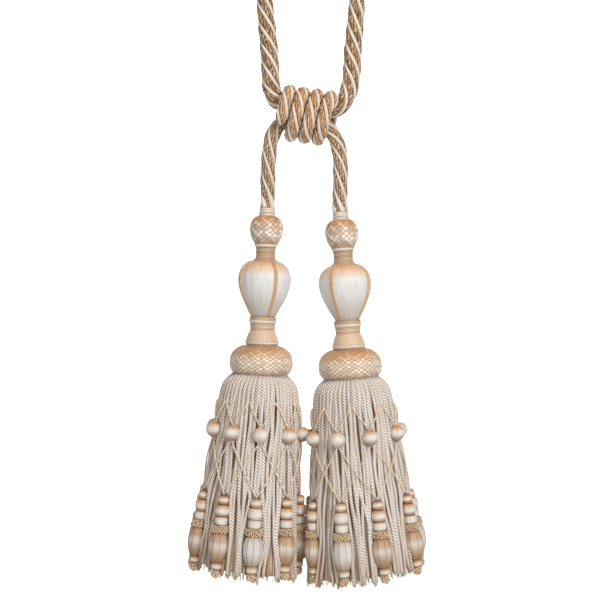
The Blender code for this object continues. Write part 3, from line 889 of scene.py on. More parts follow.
    def make(self, slot: Slot, *nodes: str) -> bpy.types.Object:
        """Makes the object, which rides on the body and stands for its CAD nodes.

        Args:
            slot: the record's material slot; not used.
            *nodes: the CAD nodes that it replaces.

        Returns:
            The object.
        """
        mesh = bpy.data.meshes.new(self.name)
        points, corners, sizes, maps, tones, looks = (np.concatenate(part) for part in self.parts.values())
        mesh.vertices.add(len(points))
        fill(mesh.vertices, "co", points * MM)
        mesh.loops.add(len(corners))
        fill(mesh.loops, "vertex_index", corners)
        mesh.polygons.add(len(sizes))
        fill(mesh.polygons, "loop_start", np.r_[0, np.cumsum(sizes)[:-1]])
        fill(mesh.polygons, "material_index", looks)
        fill(mesh.uv_layers.new(name="UVMap").data, "uv", maps)
        fill(mesh.attributes.new("tone", "FLOAT", "POINT").data, "value", tones)
        for finish in self.finishes:
            mesh.materials.append(finish.material())
        mesh.update(calc_edges=True)
        mesh.shade_smooth()
        made = placed(self.name, mesh)
        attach(made, BODY)
        if nodes:
            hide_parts(*nodes)
        faces = int(sizes.sum() - 2 * len(sizes))
        LOG.info("%s: %d triangles, finish %s", self.name, faces, ", ".join(f.name for f in self.finishes))
        return made


@dataclass
class Eye:
    """The camera, level with the middle of the tassels."""

    place: Triple = (-0.0056, -0.984, -0.2912)
    lens: float = 72.8

    def build(self) -> None:
        """Makes the camera, which looks along +Y."""
        data = bpy.data.cameras.new("camera")
        data.lens, data.clip_start, data.clip_end = self.lens, 0.05, 20
        bpy.context.scene.camera = placed("camera", data, self.place, (math.pi / 2, 0, 0))
        LOG.info("camera: lens %.1f mm", self.lens)


@dataclass(frozen=True)
class Lamp:
    """A soft square light."""

    name: str
    place: Triple
    aim: Triple
    size: float
    power: float
    colour: Triple

    def build(self) -> None:
        """Makes the light, turned to its aim."""
        data = bpy.data.lights.new(self.name, "AREA")
        data.shape, data.size = "SQUARE", self.size
        data.energy, data.color = self.power, self.colour
        x, y, z = np.array(self.aim) - np.array(self.place)
        rise = math.atan2(z, math.hypot(x, y))
        placed(self.name, data, self.place, (math.pi / 2 + rise, 0, math.atan2(-x, y)))


@dataclass
class Studio:
    """A pale floor that curves up into a backdrop, and soft light."""

    floor: float = -640
    wall: float = 2400
    front: float = -2600
    bend: float = 500
    half_width: float = 2600
    height: float = 2200
    haze: float = 0.07
    pale: float = 0.9  # of the surroundings where they are looked at
    warmth: tuple[float, ...] = (1, 0.96, 0.91, 1)
    lamps: tuple[Lamp, ...] = (
        Lamp("key light", (0.75, -1.3, 0.3), (0, 0, -0.3), 0.5, 14.6, (1, 0.99, 0.98)),
        Lamp("top light", (0.05, -0.42, 0.6), (0, 0, -0.2), 0.35, 3.5, (1, 0.79, 0.58)),
        Lamp("fill light", (-0.9, -1.4, -0.3), (0, 0, -0.3), 1, 4, (0.98, 0.99, 1)),
    )

    def build(self) -> None:
        """Makes the sweep, with a quarter circle from floor to wall, the lamps and even light all round."""
        arc = np.linspace(0, math.pi / 2, 24)
        run = np.r_[self.front, self.wall - self.bend + self.bend * np.sin(arc), self.wall]
        rise = np.r_[self.floor, self.floor + self.bend * (1 - np.cos(arc)), self.height]
        x = np.array([-self.half_width, self.half_width])
        grid = np.stack(np.broadcast_arrays(x, run[:, None], rise[:, None]), axis=-1) * MM
        at = np.arange(2 * len(run)).reshape(-1, 2)
        faces = np.stack([at[:-1, 0], at[:-1, 1], at[1:, 1], at[1:, 0]], axis=-1)
        mesh = bpy.data.meshes.new("floor")
        mesh.from_pydata(grid.reshape(-1, 3).tolist(), [], faces.tolist())
        mesh.shade_smooth()
        mesh.materials.append(PAPER.material())
        placed("floor", mesh)
        for lamp in self.lamps:
            lamp.build()
        world = bpy.data.worlds.new("studio")
        world.use_nodes = True
        sky = Graph(world.node_tree)
        seen = sky.out("LightPath", {}, "Is Camera Ray") * (self.pale - self.haze) + self.haze
        for key, value in (("Color", self.warmth), ("Strength", seen)):
            sky.feed(sky.tree.nodes["Background"].inputs[key], value)
        bpy.context.scene.world = world
        bpy.context.scene.view_settings.view_transform = "Standard"
        LOG.info("studio: %d lights", len(self.lamps))


@dataclass(frozen=True)
class Run:
    """A length of rope, row by row: its middle, its radius, and its strands' turn from a direction."""

    line: Array
    radii: Array
    turn: Array
    reference: Array

    def section(self, x: Array, y: Array) -> Array:
        """An outline scaled by the radius and turned at each row of the line.

        Args:
            x: the outline along the direction.
            y: the outline square to it.

        Returns:
            Points as (rows, columns, 3).
        """
        side, across = cross_directions(self.line, self.reference)
        cos, sin = np.cos(self.turn)[:, None], np.sin(self.turn)[:, None]
        first = (x * cos - y * sin) * self.radii[:, None]
        second = (x * sin + y * cos) * self.radii[:, None]
        return self.line[:, None] + first[..., None] * side[:, None] + second[..., None] * across[:, None]


@dataclass
class RopeLay:
    """Cross-section of the rope: gold strands, and an ivory gimp in each groove between them."""

    strands: int = 4
    offset: float = 0.54  # of a strand's middle from the rope's, as a share of the radius
    strand: float = 0.46  # a strand's radius as a share of the rope's
    gimp_offset: float = 0.75
    gimp: float = 0.195
    yarn: LaidYarn = GOLD_YARN
    per_strand: int = 14
    gimp_sides: int = 10
    shrink: float = 0.2  # of the strands where a collar binds them
    swell: float = 0.7  # of the gimps there

    def dress(
        self, name: str, run: Run, bind: Array | float = 0, pale: Array | float = 0
    ) -> tuple[bpy.types.Object, bpy.types.Object]:
        """Makes the strands, each an arc about its own middle up to the next one, and the gimps between.

        Args:
            name: the CAD node that the strands replace.
            run: the length of rope.
            bind: from 0 to 1, how tightly a collar binds it at each row.
            pale: from 0 to 1, how pale the strands are at each row: painted light.

        Returns:
            The strands and the gimps.
        """
        half = math.pi / self.strands
        reach = half + math.asin(self.offset * math.sin(half) / self.strand)
        local = np.tile(np.linspace(-reach, reach, self.per_strand, endpoint=False), self.strands)
        middle = np.repeat(TAU * np.arange(self.strands) / self.strands, self.per_strand)
        x = self.offset * np.cos(middle) + self.strand * np.cos(middle + local)
        y = self.offset * np.sin(middle) + self.strand * np.sin(middle + local)
        skin = replace(run, radii=run.radii * (1 - self.shrink * bind)).section(x, y)
        skin_map = paired(np.arange(len(x) + 1) / self.per_strand, walked(run.line))
        tone = np.broadcast_to(pale, len(run.line))[None]
        strands = Piece(f"{name}_strands").add(skin, skin_map, self.yarn, tone)
        angle = TAU * (np.arange(self.strands) + 0.5) / self.strands
        x, y = self.gimp_offset * np.cos(angle), self.gimp_offset * np.sin(angle)
        grooves = run.section(x, y).transpose(1, 0, 2)
        thick = run.radii * self.gimp * (1 + self.swell * bind)
        gimps = Piece(f"{name}_gimps").tubes(grooves, thick, self.gimp_sides, grooves - run.line, IVORY_GIMP)
        return strands.make(Slot.ROPE, name), gimps.make(Slot.ROPE)


@dataclass
class Rope:
    """The rope from one tassel round the loop to the other."""

    lay: RopeLay
    step: float = 1.2
    start: float = 0.4
    rise: float = 66  # of a strand in one turn, where the rope is fullest
    full: float = 6.9
    settle: float = -0.49  # by how much the lay is slacker round the top of the loop, in radians
    diameter: float = 13.2
    knot: tuple[float, float] = (-7.5, -140)
    inside: tuple[float, float] = (13, 24)  # where the legs swell, from the knot's middle
    slack: tuple[float, float] = (60, 110)  # and where the upper ones are at their plain size again
    top: float = 6.6
    upper: float = 7.4
    lower: float = 6.2
    bind: tuple[float, float] = (3, 13)  # how far from a collar it lets go of the rope

    def build(self) -> None:
        """The strands turn left-handed, by − the sum of step · 2π · radius ÷ (rise · full).
        """
        fine = smooth_line(np.array(ROPE_ROUTE) / MM)
        line = resampled(fine, round(walked(fine)[-1] / self.step) + 1)
        middle, height = line[:, :3], line[:, 2]
        away = np.hypot(middle[:, 0] - self.knot[0], height - self.knot[1])
        upper = blend(self.upper, self.top, ease(away, *self.slack))
        full = blend(self.lower, upper, ease(height, self.knot[1], self.knot[1] + 15))
        radii = blend(line[:, 3], full, ease(away, *self.inside))
        along = walked(middle)
        steps = np.r_[0, np.diff(along)]
        turn = self.start - np.cumsum(steps * TAU * radii / (self.rise * self.full))
        turn = turn + self.settle * ease(along, 0.42 * along[-1], 0.58 * along[-1])
        bind = 1 - ease(np.minimum(along, along[-1] - along), *self.bind)
        # painted light: the strands are paler from the knot down
        pale = 1 - ease(height, self.knot[1] - 20, self.knot[1])
        run = Run(middle, radii, turn, np.array((0, 1, 0)))
        strands, gimps = self.lay.dress("rope", run, bind, pale)


@dataclass
class KnotWrap:
    """The same rope wound round both legs as a barrel knot."""

    lay: RopeLay
    centre: Triple = (-7.5, 0, -140)
    tilt: float = 8
    first: float = -0.30
    last: float = 3.38
    pitch: float = 11
    begin: float = 21.35
    half_height: float = 17.6
    half_depth: float = 16.8
    radius: float = 5.25
    end_radius: float = 2.8
    tuck: float = 0.28
    tuck_turns: float = 0.2
    taper_turns: float = 0.1
    rows: int = 360
    facing: Profile = (  # at how many wraps which gimp lies outside, counted in order
        (-0.3, -2.6), (0.08, 0), (0.225, 1), (0.38, 2), (1.233, 8), (1.38, 9), (2.167, 15), (2.3, 16),
        (3.197, 22), (3.35, 23), (3.4, 23.4),
    )

    def build(self) -> None:
        """Makes the winding: a helix about the knot's own axis, tucked in and thinned at both ends."""
        turns = np.linspace(self.first, self.last, self.rows)
        ends = np.minimum(turns - self.first, self.last - turns)
        inwards = 1 - self.tuck * np.clip(1 - ends / self.tuck_turns, 0, 1) ** 2
        thin = np.clip(1 - ends / self.taper_turns, 0, 1) ** 2
        radii = self.radius - (self.radius - self.end_radius) * thin
        place, angle = Place.about("Y", self.tilt, self.centre), TAU * turns
        y, z = -self.half_depth * inwards * np.sin(angle), self.half_height * inwards * np.cos(angle)
        helix = np.stack([self.begin - self.pitch * turns, y, z], axis=-1)
        outside = np.interp(turns, *np.array(self.facing).T)
        turn = TAU / 4 - TAU * (outside + 0.5) / self.lay.strands
        self.lay.dress("knot_wrap", Run(place.of(helix), radii, turn, place.turn @ np.array((1, 0, 0))))


@dataclass(frozen=True)
class Tassel:
    """Where one tassel hangs, and where its drops are."""

    side: str
    top: Triple
    lean: float
    skirt_lean: float
    facing: float
    first_rib: float
    ivory: int  # the remainder by 3 of the numbers of the drops with an ivory pear
    shown: tuple[float, ...]
    partings: tuple[float, ...]  # where the cords part at the hem
    tilt: float  # how much further down the hem is at +X
    press: float  # how much flatter the skirt is towards the other one
    count: int = 9
    pivot: float = 134.5

    @property
    def head(self) -> Place:
        """The head's own frame."""
        return Place.about("Y", self.lean, self.top)

    @property
    def skirt(self) -> Place:
        """The skirt's frame, which turns a little more about the head's foot."""
        turn, foot = Place.about("Y", self.skirt_lean).turn, np.array((0, 0, -self.pivot))
        return Place(turn, foot - turn @ foot).then(self.head)

    def paleness(self, number: int) -> float:
        """How pale the bead and the drop of that number are: every third one is ivory, the rest are tan."""
        return 1 if number % 3 == self.ivory else 0.1

    @property
    def angles(self) -> Array:
        """The drops' angles: those in front, and the rest shared evenly round the back.

        Returns:
            One angle in radians for each drop.
        """
        spare = 360 - (self.shown[-1] - self.shown[0])
        hidden = self.count - len(self.shown)
        back = self.shown[-1] + spare * (np.arange(hidden) + 1) / (hidden + 1)
        return np.radians(np.r_[self.shown, back])


@dataclass(frozen=True)
class Mould:
    """A covered mould of the head: a turned shape with its covering's relief."""

    node: str
    profile: Profile
    finish: Finish
    slot: Slot
    rows: int = 30
    columns: int = 64

    def outline(self) -> Array:
        """The profile's points joined by a smooth curve and spaced evenly."""
        return rounded(self.profile, self.rows, 12)

    @property
    def turn(self) -> Array:
        """The share of a turn at each column, (1, columns)."""
        return np.arange(self.columns)[None] / self.columns

    def relief(self, outline: Array) -> Array | float:
        """Height over the outline; a plain mould has none."""
        return 0

    def surface_map(self, outline: Array) -> Array | None:
        """Its own surface coordinates, if it has any."""
        return None

    def dress(self, tassel: Tassel) -> None:
        """Makes the mould on a tassel's head.

        Args:
            tassel: the tassel.
        """
        outline, name = self.outline(), f"{tassel.side}_{self.node}"
        piece = Piece(f"{name}_cover", tassel.head)
        relief, own_map = self.relief(outline), self.surface_map(outline)
        piece.turned(outline, self.columns, self.finish, outline[None, :, 0], relief, own_map)
        piece.make(self.slot, *[node for node in (name,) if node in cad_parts])


@dataclass(frozen=True)
class WoundMould(Mould):
    """A mould wound with thread."""

    pitch: float = 1.15
    height: float = 0.12

    def relief(self, outline: Array) -> Array:
        """Threads that rise round the mould: height · the size of sin(π · (length ÷ pitch + turn))."""
        return self.height * ridges(walked(outline)[:, None] / self.pitch + self.turn)


@dataclass(frozen=True)
class FlossMould(Mould):
    """A mould covered with floss laid lengthwise, uneven round the mould."""

    height: float = 0.16
    waves: tuple[Triple, ...] = ((0.5, 19, 0), (0.3, 31, 1.3), (0.2, 47, 0.6))  # size, count, start

    def relief(self, outline: Array) -> Array:
        """Shallow flutes: a few waves of different counts round the mould, added up."""
        angle = TAU * np.arange(self.columns) / self.columns
        return self.height * sum(size * np.sin(count * angle + start) for size, count, start in self.waves)


@dataclass(frozen=True)
class PicotMould(Mould):
    """A ring of small knots."""

    knots: int = 34
    height: float = 0.45

    def relief(self, outline: Array) -> Array:
        """One swelling for each knot: height · the size of sin(knots · angle ÷ 2)."""
        angle = TAU * np.arange(self.columns) / self.columns
        return self.height * np.abs(np.sin(self.knots * angle / 2))


@dataclass(frozen=True)
class PlaitedMould(Mould):
    """A mould covered with bands plaited on the slant."""

    bands: int = 22
    squash: float = 1
    height: float = 0.4

    def surface_map(self, outline: Array) -> Array:
        """The bands counted each way: bands · (turn ± squash · sum of step ÷ (2π · radius)).

        Args:
            outline: rows of depth and radius.

        Returns:
            Coordinates as (rows, columns + 1, 2).
        """
        step = np.r_[0, np.diff(walked(outline))]
        fall = self.squash * (np.cumsum(step / np.maximum(outline[:, 1], 1)) / TAU)[:, None]
        turn = np.arange(self.columns + 1) / self.columns
        return self.bands * np.stack([turn + fall, turn - fall + 8], axis=-1)

    def relief(self, outline: Array) -> Array:
        """A pillow for each cell: height · the root of the lesser of the two bands' ridges."""
        first, second = np.moveaxis(self.surface_map(outline)[:, :-1], -1, 0)
        return self.height * np.sqrt(np.minimum(ridges(first), ridges(second)))


@dataclass
class Head:
    """The stack of covered moulds, with gimps down the bulb."""

    moulds: tuple[Mould, ...] = (
        WoundMould(
            "collar", ((-0.2, 5), (0.2, 6), (1.2, 6.3), (2.8, 6.2), (4.8, 6.5), (6.4, 7.2)),
            COLLAR_THREAD, Slot.THREAD, 44, 48, 1, 0.14,
        ),
        PlaitedMould(
            "ball",
            (
                (6.3, 5.6), (6.9, 8), (8.4, 10.1), (11.2, 12), (14.6, 12.9), (17.8, 12.9), (22.4, 12),
                (25.6, 10.4), (28.4, 8.6), (28.7, 7.8),
            ),
            BALL_PLAIT, Slot.PLAIT, 64, 176, 16, 1.2, 0.55,
        ),
        Mould(
            "neck_ring", ((28.5, 7.8), (28.8, 8.9), (29.7, 9.3), (30.6, 8.9), (31, 7.8)),
            RING_THREAD, Slot.THREAD, 16,
        ),
        WoundMould(
            "neck_upper", ((31, 8.3), (33.6, 7.8), (38.2, 7.7), (40, 8.2), (41.4, 9.1), (42.3, 9.6)),
            NECK_THREAD, Slot.WOUND, 60, 56,
        ),
        FlossMould(
            "bulb",
            (
                (42.2, 8.6), (42.6, 10.8), (43.4, 13.4), (45.2, 16.3), (49.2, 19.4), (54.6, 21),
                (60.4, 20.9), (66, 19.6), (72, 17.3), (79, 13.7), (84.4, 10.7), (86.6, 9.2),
            ),
            BULB_FLOSS, Slot.SATIN, 60, 160,
        ),
        WoundMould(
            "waist_ring", ((86.5, 9.4), (87, 10.6), (88.2, 10.8), (89.1, 10.6), (89.5, 9.8)),
            WAIST_THREAD, Slot.THREAD, 22, 64, 0.9, 0.1,
        ),
        Mould(
            "waist_bead", ((89.3, 9.8), (89.6, 10.8), (90.5, 11.3), (91.4, 10.8), (91.8, 9.8)),
            RING_THREAD, Slot.THREAD, 16,
        ),
        WoundMould(
            "neck_lower", ((91.7, 10.4), (93.5, 10.1), (96.4, 9.9), (98.2, 10.1), (98.8, 10.2)),
            LOW_NECK_THREAD, Slot.WOUND, 48, 60,
        ),
        Mould(
            "neck_flare",
            ((98.4, 9.8), (98.8, 10.7), (100.4, 11.4), (103.4, 12.4), (106.2, 13.2), (106.6, 12.2)),
            FLARE_THREAD, Slot.WOUND, 24, 96,
        ),
        PicotMould(
            "bun_ring",
            ((106.2, 11.6), (106.6, 12.7), (107.4, 13.1), (108.3, 12.7), (109, 11.7), (109.9, 11.5)),
            RING_THREAD, Slot.THREAD, 20, 170,
        ),
        PlaitedMould(
            "bun",
            (
                (109.6, 11), (110.1, 14.2), (111.4, 18), (114.2, 21.8), (118, 24.2), (122.6, 25),
                (127.6, 24.6), (131, 22.6), (133.4, 19), (133.9, 15.5),
            ),
            BUN_PLAIT, Slot.PLAIT, 72, 256, 32, 1.5, 0.45,
        ),
    )
    ribs: int = 4
    rib_radius: float = 0.7
    rib_gap: float = 0.68
    rib_stand: float = 0.45
    rib_rows: int = 90
    sides: int = 8
    ring: Triple = (42, 9.6, 0.6)  # depth, radius and thickness of the cord round the bulb's top
    ring_rows: int = 73

    def build(self, tassel: Tassel) -> None:
        """Makes every mould, then the gimps on the bulb.

        Args:
            tassel: the tassel that the head belongs to.
        """
        for mould in self.moulds:
            mould.dress(tassel)
        bulb = next(mould for mould in self.moulds if mould.node == "bulb")
        outline = resampled(np.array(bulb.outline())[3:-1], self.rib_rows)
        for rib in range(self.ribs):
            angle = math.radians(tassel.first_rib) + TAU * rib / self.ribs
            out = np.array((math.sin(angle), -math.cos(angle), 0))
            aside = np.array((math.cos(angle), math.sin(angle), 0)) * self.rib_gap
            line = polar(outline[:, 0], outline[:, 1] + self.rib_stand, angle)
            pair = np.stack([line - aside, line + aside])
            name = f"{tassel.side}_bulb_rib_{rib + 1}"
            piece = Piece(f"{name}_gimp", tassel.head)
            piece.tubes(pair, self.rib_radius, self.sides, out, TAN_GIMP).make(Slot.GIMP, name)
        depth, radius, thick = self.ring
        line = polar(depth, radius, TAU * np.arange(self.ring_rows) / (self.ring_rows - 1))
        piece = Piece(f"{tassel.side}_bulb_cord", tassel.head)
        piece.tubes(line, thick, self.sides, (0, 0, 1), TAN_GIMP).make(Slot.GIMP)


@dataclass
class Skirt:
    """The hanging cords, the floss inside them, and the shape that the net lies on."""

    tassel: Tassel
    cords: int = 100
    inner_cords: int = 48
    radius: float = 1.45
    rows: int = 52
    sides: int = 6
    root_depth: float = 132.4
    root_radius: float = 17
    hem: float = 286.5
    hem_change: float = 3
    strays: float = 0.22  # share of the cords that stray over the others
    fibres: int = 6  # at a cord's end
    fibre_radius: float = 0.26
    floss: int = 170
    floss_top: float = 205
    floss_radius: float = 0.5
    bead_depth: float = 177.6
    bead_stand: float = 1.5
    bead_room: float = 6.9
    drop_top: float = 226
    drop_foot: float = 290
    drop_stand: float = 0.4
    drop_sink: float = 1.1
    drop_room: Profile = (
        (222, 0), (226, 4.6), (236, 6.6), (248, 6.4), (252, 7.6), (264, 8.9), (276, 6.2),
        (283, 5.4), (290, 4.8), (296, 2),
    )
    bell_top: float = 136
    bell_neck: float = 15
    bell_sunk: float = 3.6
    bell_columns: int = 150
    bell_rows: int = 42
    surface: Profile = (
        (134, 25), (141.5, 30), (145.6, 31.2), (164.8, 34), (188, 35.8), (211, 37.8),
        (225.6, 40), (257.6, 43.4), (281.6, 45.4), (300, 46.4),
    )
    waves: tuple[tuple[float, ...], ...] = (  # of the bunches: count round, size, depths of the onset
        (4, 3.6, 165, 290), (9, 1.5, 165, 230), (17, 0.9, 185, 260), (31, 0.45, 200, 285),
    )

    def reach(self, depth: Array | float, angle: Array | float) -> Array:
        """Outer radius of the skirt, a little flatter where it leans on the other one.

        Args:
            depth: how far down.
            angle: in radians.

        Returns:
            The interpolated profile, less its share of press · cos² of the angle to the other tassel.
        """
        depths, radii = np.array(self.surface).T
        towards = np.maximum(np.cos(angle - math.radians(self.tassel.facing)), 0) ** 2
        onset = np.interp(depth, (190, 240), (0, 1))
        return np.interp(depth, depths, radii) * (1 - self.tassel.press * onset * towards)

    def beside(self, depth: Array, angle: Array, lines: Array) -> Array:
        """Sideways distance from the nearest of some upright lines: the least angle times the skirt's radius.

        Args:
            depth: how far down.
            angle: in radians.
            lines: the lines' angles.

        Returns:
            The distance with its sign.
        """
        apart = (angle[..., None] - lines + math.pi) % TAU - math.pi
        nearest = np.abs(apart).argmin(axis=-1)[..., None]
        return np.take_along_axis(apart, nearest, axis=-1)[..., 0] * self.reach(depth, angle)

    def parted(self, depth: Array, angle: Array) -> Array:
        """Angles of cords that part round the drops: the distance s becomes s · (1 + k · exp(−(s ÷ w)²)).

        Args:
            depth: how far down.
            angle: in radians.

        Returns:
            The angles after the parting.
        """
        for lines, push, wide, begin, full in (
            (self.tassel.angles, 1.15, 6.5, 226, 262),
            (np.radians(self.tassel.partings), 2.2, 6, 252, 290),
        ):
            away = self.beside(depth, angle, lines)
            more = push * ease(depth, begin, full) * away * np.exp(-((away / wide) ** 2))
            angle = angle + more / self.reach(depth, angle)
        return angle

    def cleared(self, depth: Array, angle: Array, sunk: Array | float) -> Array:
        """Radii of what hangs under the surface and gives way behind a bead or a drop.

        At sideways distance s from a round form of half width w, whose middle is at radius m, it lies at
        m − √(w² − s²) at most.

        Args:
            depth: how far down.
            angle: in radians.
            sunk: how far under the surface it would lie.

        Returns:
            The lesser of its radius and that limit.
        """
        aside, reach = self.beside(depth, angle, self.tassel.angles), self.reach(depth, angle)
        radius = reach - sunk
        share = np.clip((depth - self.drop_top) / (self.drop_foot - self.drop_top), 0, 1)
        stand = self.drop_stand - (self.drop_stand + self.drop_sink) * share
        depths, widths = np.array(self.drop_room).T
        drop = np.interp(depth, depths, widths, 0, 0) ** 2 - aside**2
        bead = self.bead_room**2 - aside**2 - (depth - self.bead_depth) ** 2
        for room, out in ((drop, stand), (bead, self.bead_stand)):
            limit = reach + out - np.sqrt(np.maximum(room, 0))
            radius = np.where(room > 0, np.minimum(radius, limit), radius)
        return radius

    def lines(self, count: int, sunk: float, seed: int) -> tuple[Array, Array]:
        """Middles of the cords of one layer.

        Each hangs at its own angle. A slow field that its neighbours share makes bunches of them, a
        small wave and a sweep are its own, and some stray over the others. Its radius rises from the
        root under the head to the skirt's surface, less its layer and what gives way.

        Args:
            count: how many cords.
            sunk: how far the layer lies under the surface.
            seed: start of the random numbers.

        Returns:
            Lines as (cords, rows, 3) and the outward direction at each point.
        """
        rng, each = np.random.default_rng(seed), (count, 1)
        number = np.arange(count)[:, None]
        foot = self.hem + self.hem_change * rng.uniform(-1, 1, each)
        base = TAU * (number + rng.uniform(-0.25, 0.25, each)) / count
        foot = foot + self.tassel.tilt * np.sin(base)
        depth = blend(self.root_depth, foot, np.linspace(0, 1, self.rows))
        aside = sum(
            size * np.sin(times * base + rng.uniform(0, TAU)) * ease(depth, begin, end)
            for times, size, begin, end in self.waves
        )
        size, length = rng.uniform(0.4, 1.3, each), rng.uniform(45, 120, each)
        wave = size * np.sin(TAU * depth / length + rng.uniform(0, TAU, each)) * ease(depth, 136, 160)
        stray = rng.uniform(size=each) < self.strays
        sweep = rng.normal(0, 2, each) * np.where(stray, 4, 1) * ease(depth, 160, 285)
        aside = aside + wave + sweep
        angle = self.parted(depth, base + aside / self.reach(depth, base))
        under = np.where(number % 2 == 0, 0, 1.2) * (1 - ease(depth, 150, 250))
        lift = rng.uniform(-0.6, 0.5, each) * ease(depth, 145, 200)
        lift = lift + 0.9 * stray * ease(depth, 170, 210)
        curl = rng.normal(0.3, 0.8, each) * ease(depth, 276, 294)
        radius = self.cleared(depth, angle, self.radius + sunk + under - lift - curl)
        radius = blend(self.root_radius, radius, ease(depth, self.root_depth - 3.5, 137.5))
        return polar(depth, radius, angle), polar(0 * depth, 1, angle)

    def cord_layer(self, name: str, count: int, sunk: float, seed: int, finish: Finish, *nodes: str) -> Array:
        """Makes one layer of cords.

        Args:
            name: the piece's name.
            count: how many cords.
            sunk: how far the layer lies under the surface.
            seed: start of the random numbers.
            finish: what the cords are made of.
            *nodes: CAD nodes that the layer replaces.

        Returns:
            The lines, in the skirt's own frame.
        """
        lines, out = self.lines(count, sunk, seed)
        rng = np.random.default_rng(seed + 100)
        thick = self.radius * rng.uniform(0.93, 1.05, (count, 1)) * np.ones(self.rows)
        thick[:, -1] *= 0.8
        start, tone = rng.uniform(0, 4, count), rng.uniform(0, 1, count)
        piece = Piece(name, self.tassel.skirt)
        piece.tubes(lines, thick, self.sides, out, finish, tone, start).make(Slot.SKIRT, *nodes)
        return lines

    def fray(self, name: str, lines: Array, seed: int) -> None:
        """Makes the loose fibres at the cut ends: short hairs that spread from each cord's end.

        Args:
            name: the piece's name.
            lines: the cords' middles.
            seed: start of the random numbers.
        """
        rng = np.random.default_rng(seed)
        ends = np.repeat(lines[:, -1], self.fibres, axis=0)
        way = np.repeat(lines[:, -1] - lines[:, -3], self.fibres, axis=0)
        way /= np.linalg.norm(way, axis=1, keepdims=True)
        count = len(ends)
        start = ends + rng.normal(0, 0.75, (count, 3)) * (1, 1, 0.4)
        spread, bend = rng.normal(0, 0.28, (count, 3)), rng.normal(0, 0.35, (count, 3))
        t = np.linspace(0, 1, 4)[None, :, None]
        length = rng.uniform(0.8, 2.6, (count, 1, 1))
        hairs = start[:, None] + length * ((way + spread)[:, None] * t + bend[:, None] * t**2)
        thin = self.fibre_radius * (1 - 0.5 * t[..., 0]) * np.ones((count, 1))
        piece = Piece(name, self.tassel.skirt)
        piece.tubes(hairs, thin, 3, (1, 0.3, 0.1), LOOSE_FLOSS, rng.uniform(0, 1, count)).make(Slot.SKIRT)

    def tuft(self, name: str) -> None:
        """Makes the floss inside: a fluted bell close behind the cords, and loose strands over it.

        Args:
            name: the piece's name.
        """
        rng, tilt = np.random.default_rng(7), self.tassel.tilt
        columns, share = self.bell_columns, np.linspace(0, 1, self.bell_rows)[:, None]
        angle = TAU * np.arange(columns)[None] / columns + 0 * share
        foot = self.hem + 1.6 + 0.8 * np.sin(7 * angle) + 0.9 * np.sin(23 * angle) + tilt * np.sin(angle)
        depth = blend(self.bell_top, foot, share)
        flutes = 0.35 * np.sin(45 * angle) + 0.25 * np.sin(29 * angle + 1)
        radius = self.cleared(depth, angle, self.bell_sunk) - 0.8 + flutes
        radius = blend(self.bell_neck, radius, ease(depth, self.bell_top - 6, self.bell_top + 9))
        radius *= 1 - 0.5 * ease(share, 0.985, 1)
        surface_map = paired(np.arange(columns + 1) / columns, depth.mean(axis=1) - self.bell_top)
        piece = Piece(name, self.tassel.skirt).add(polar(depth, radius, angle), surface_map, INNER_FLOSS)
        each = (self.floss, 1)
        base = rng.uniform(0, TAU, each)
        foot = self.hem + 1 + rng.uniform(-3, 2, each) + tilt * np.sin(base)
        depth = blend(self.floss_top, foot, np.linspace(0, 1, 12))
        turn = base + rng.normal(0, 0.05, each) * ease(depth, self.floss_top, 290)
        lines = polar(depth, self.cleared(depth, turn, rng.uniform(3.2, 4.6, each)), turn)
        out, tone = polar(0 * depth, 1, turn), rng.uniform(0, 1, self.floss)
        piece.tubes(lines, self.floss_radius, 4, out, LOOSE_FLOSS, tone).make(Slot.SKIRT)

    def build(self) -> None:
        """Makes both layers of cords, their frayed ends and the floss inside."""
        side = self.tassel.side
        outer = self.cord_layer(f"{side}_outer_cords", self.cords, 0, 11, SKIRT_CORD, f"{side}_skirt")
        inner = self.cord_layer(f"{side}_inner_cords", self.inner_cords, 1.5, 23, INNER_CORD)
        self.fray(f"{side}_frayed_ends", np.concatenate([outer, inner]), 31)
        self.tuft(f"{side}_inner_floss")


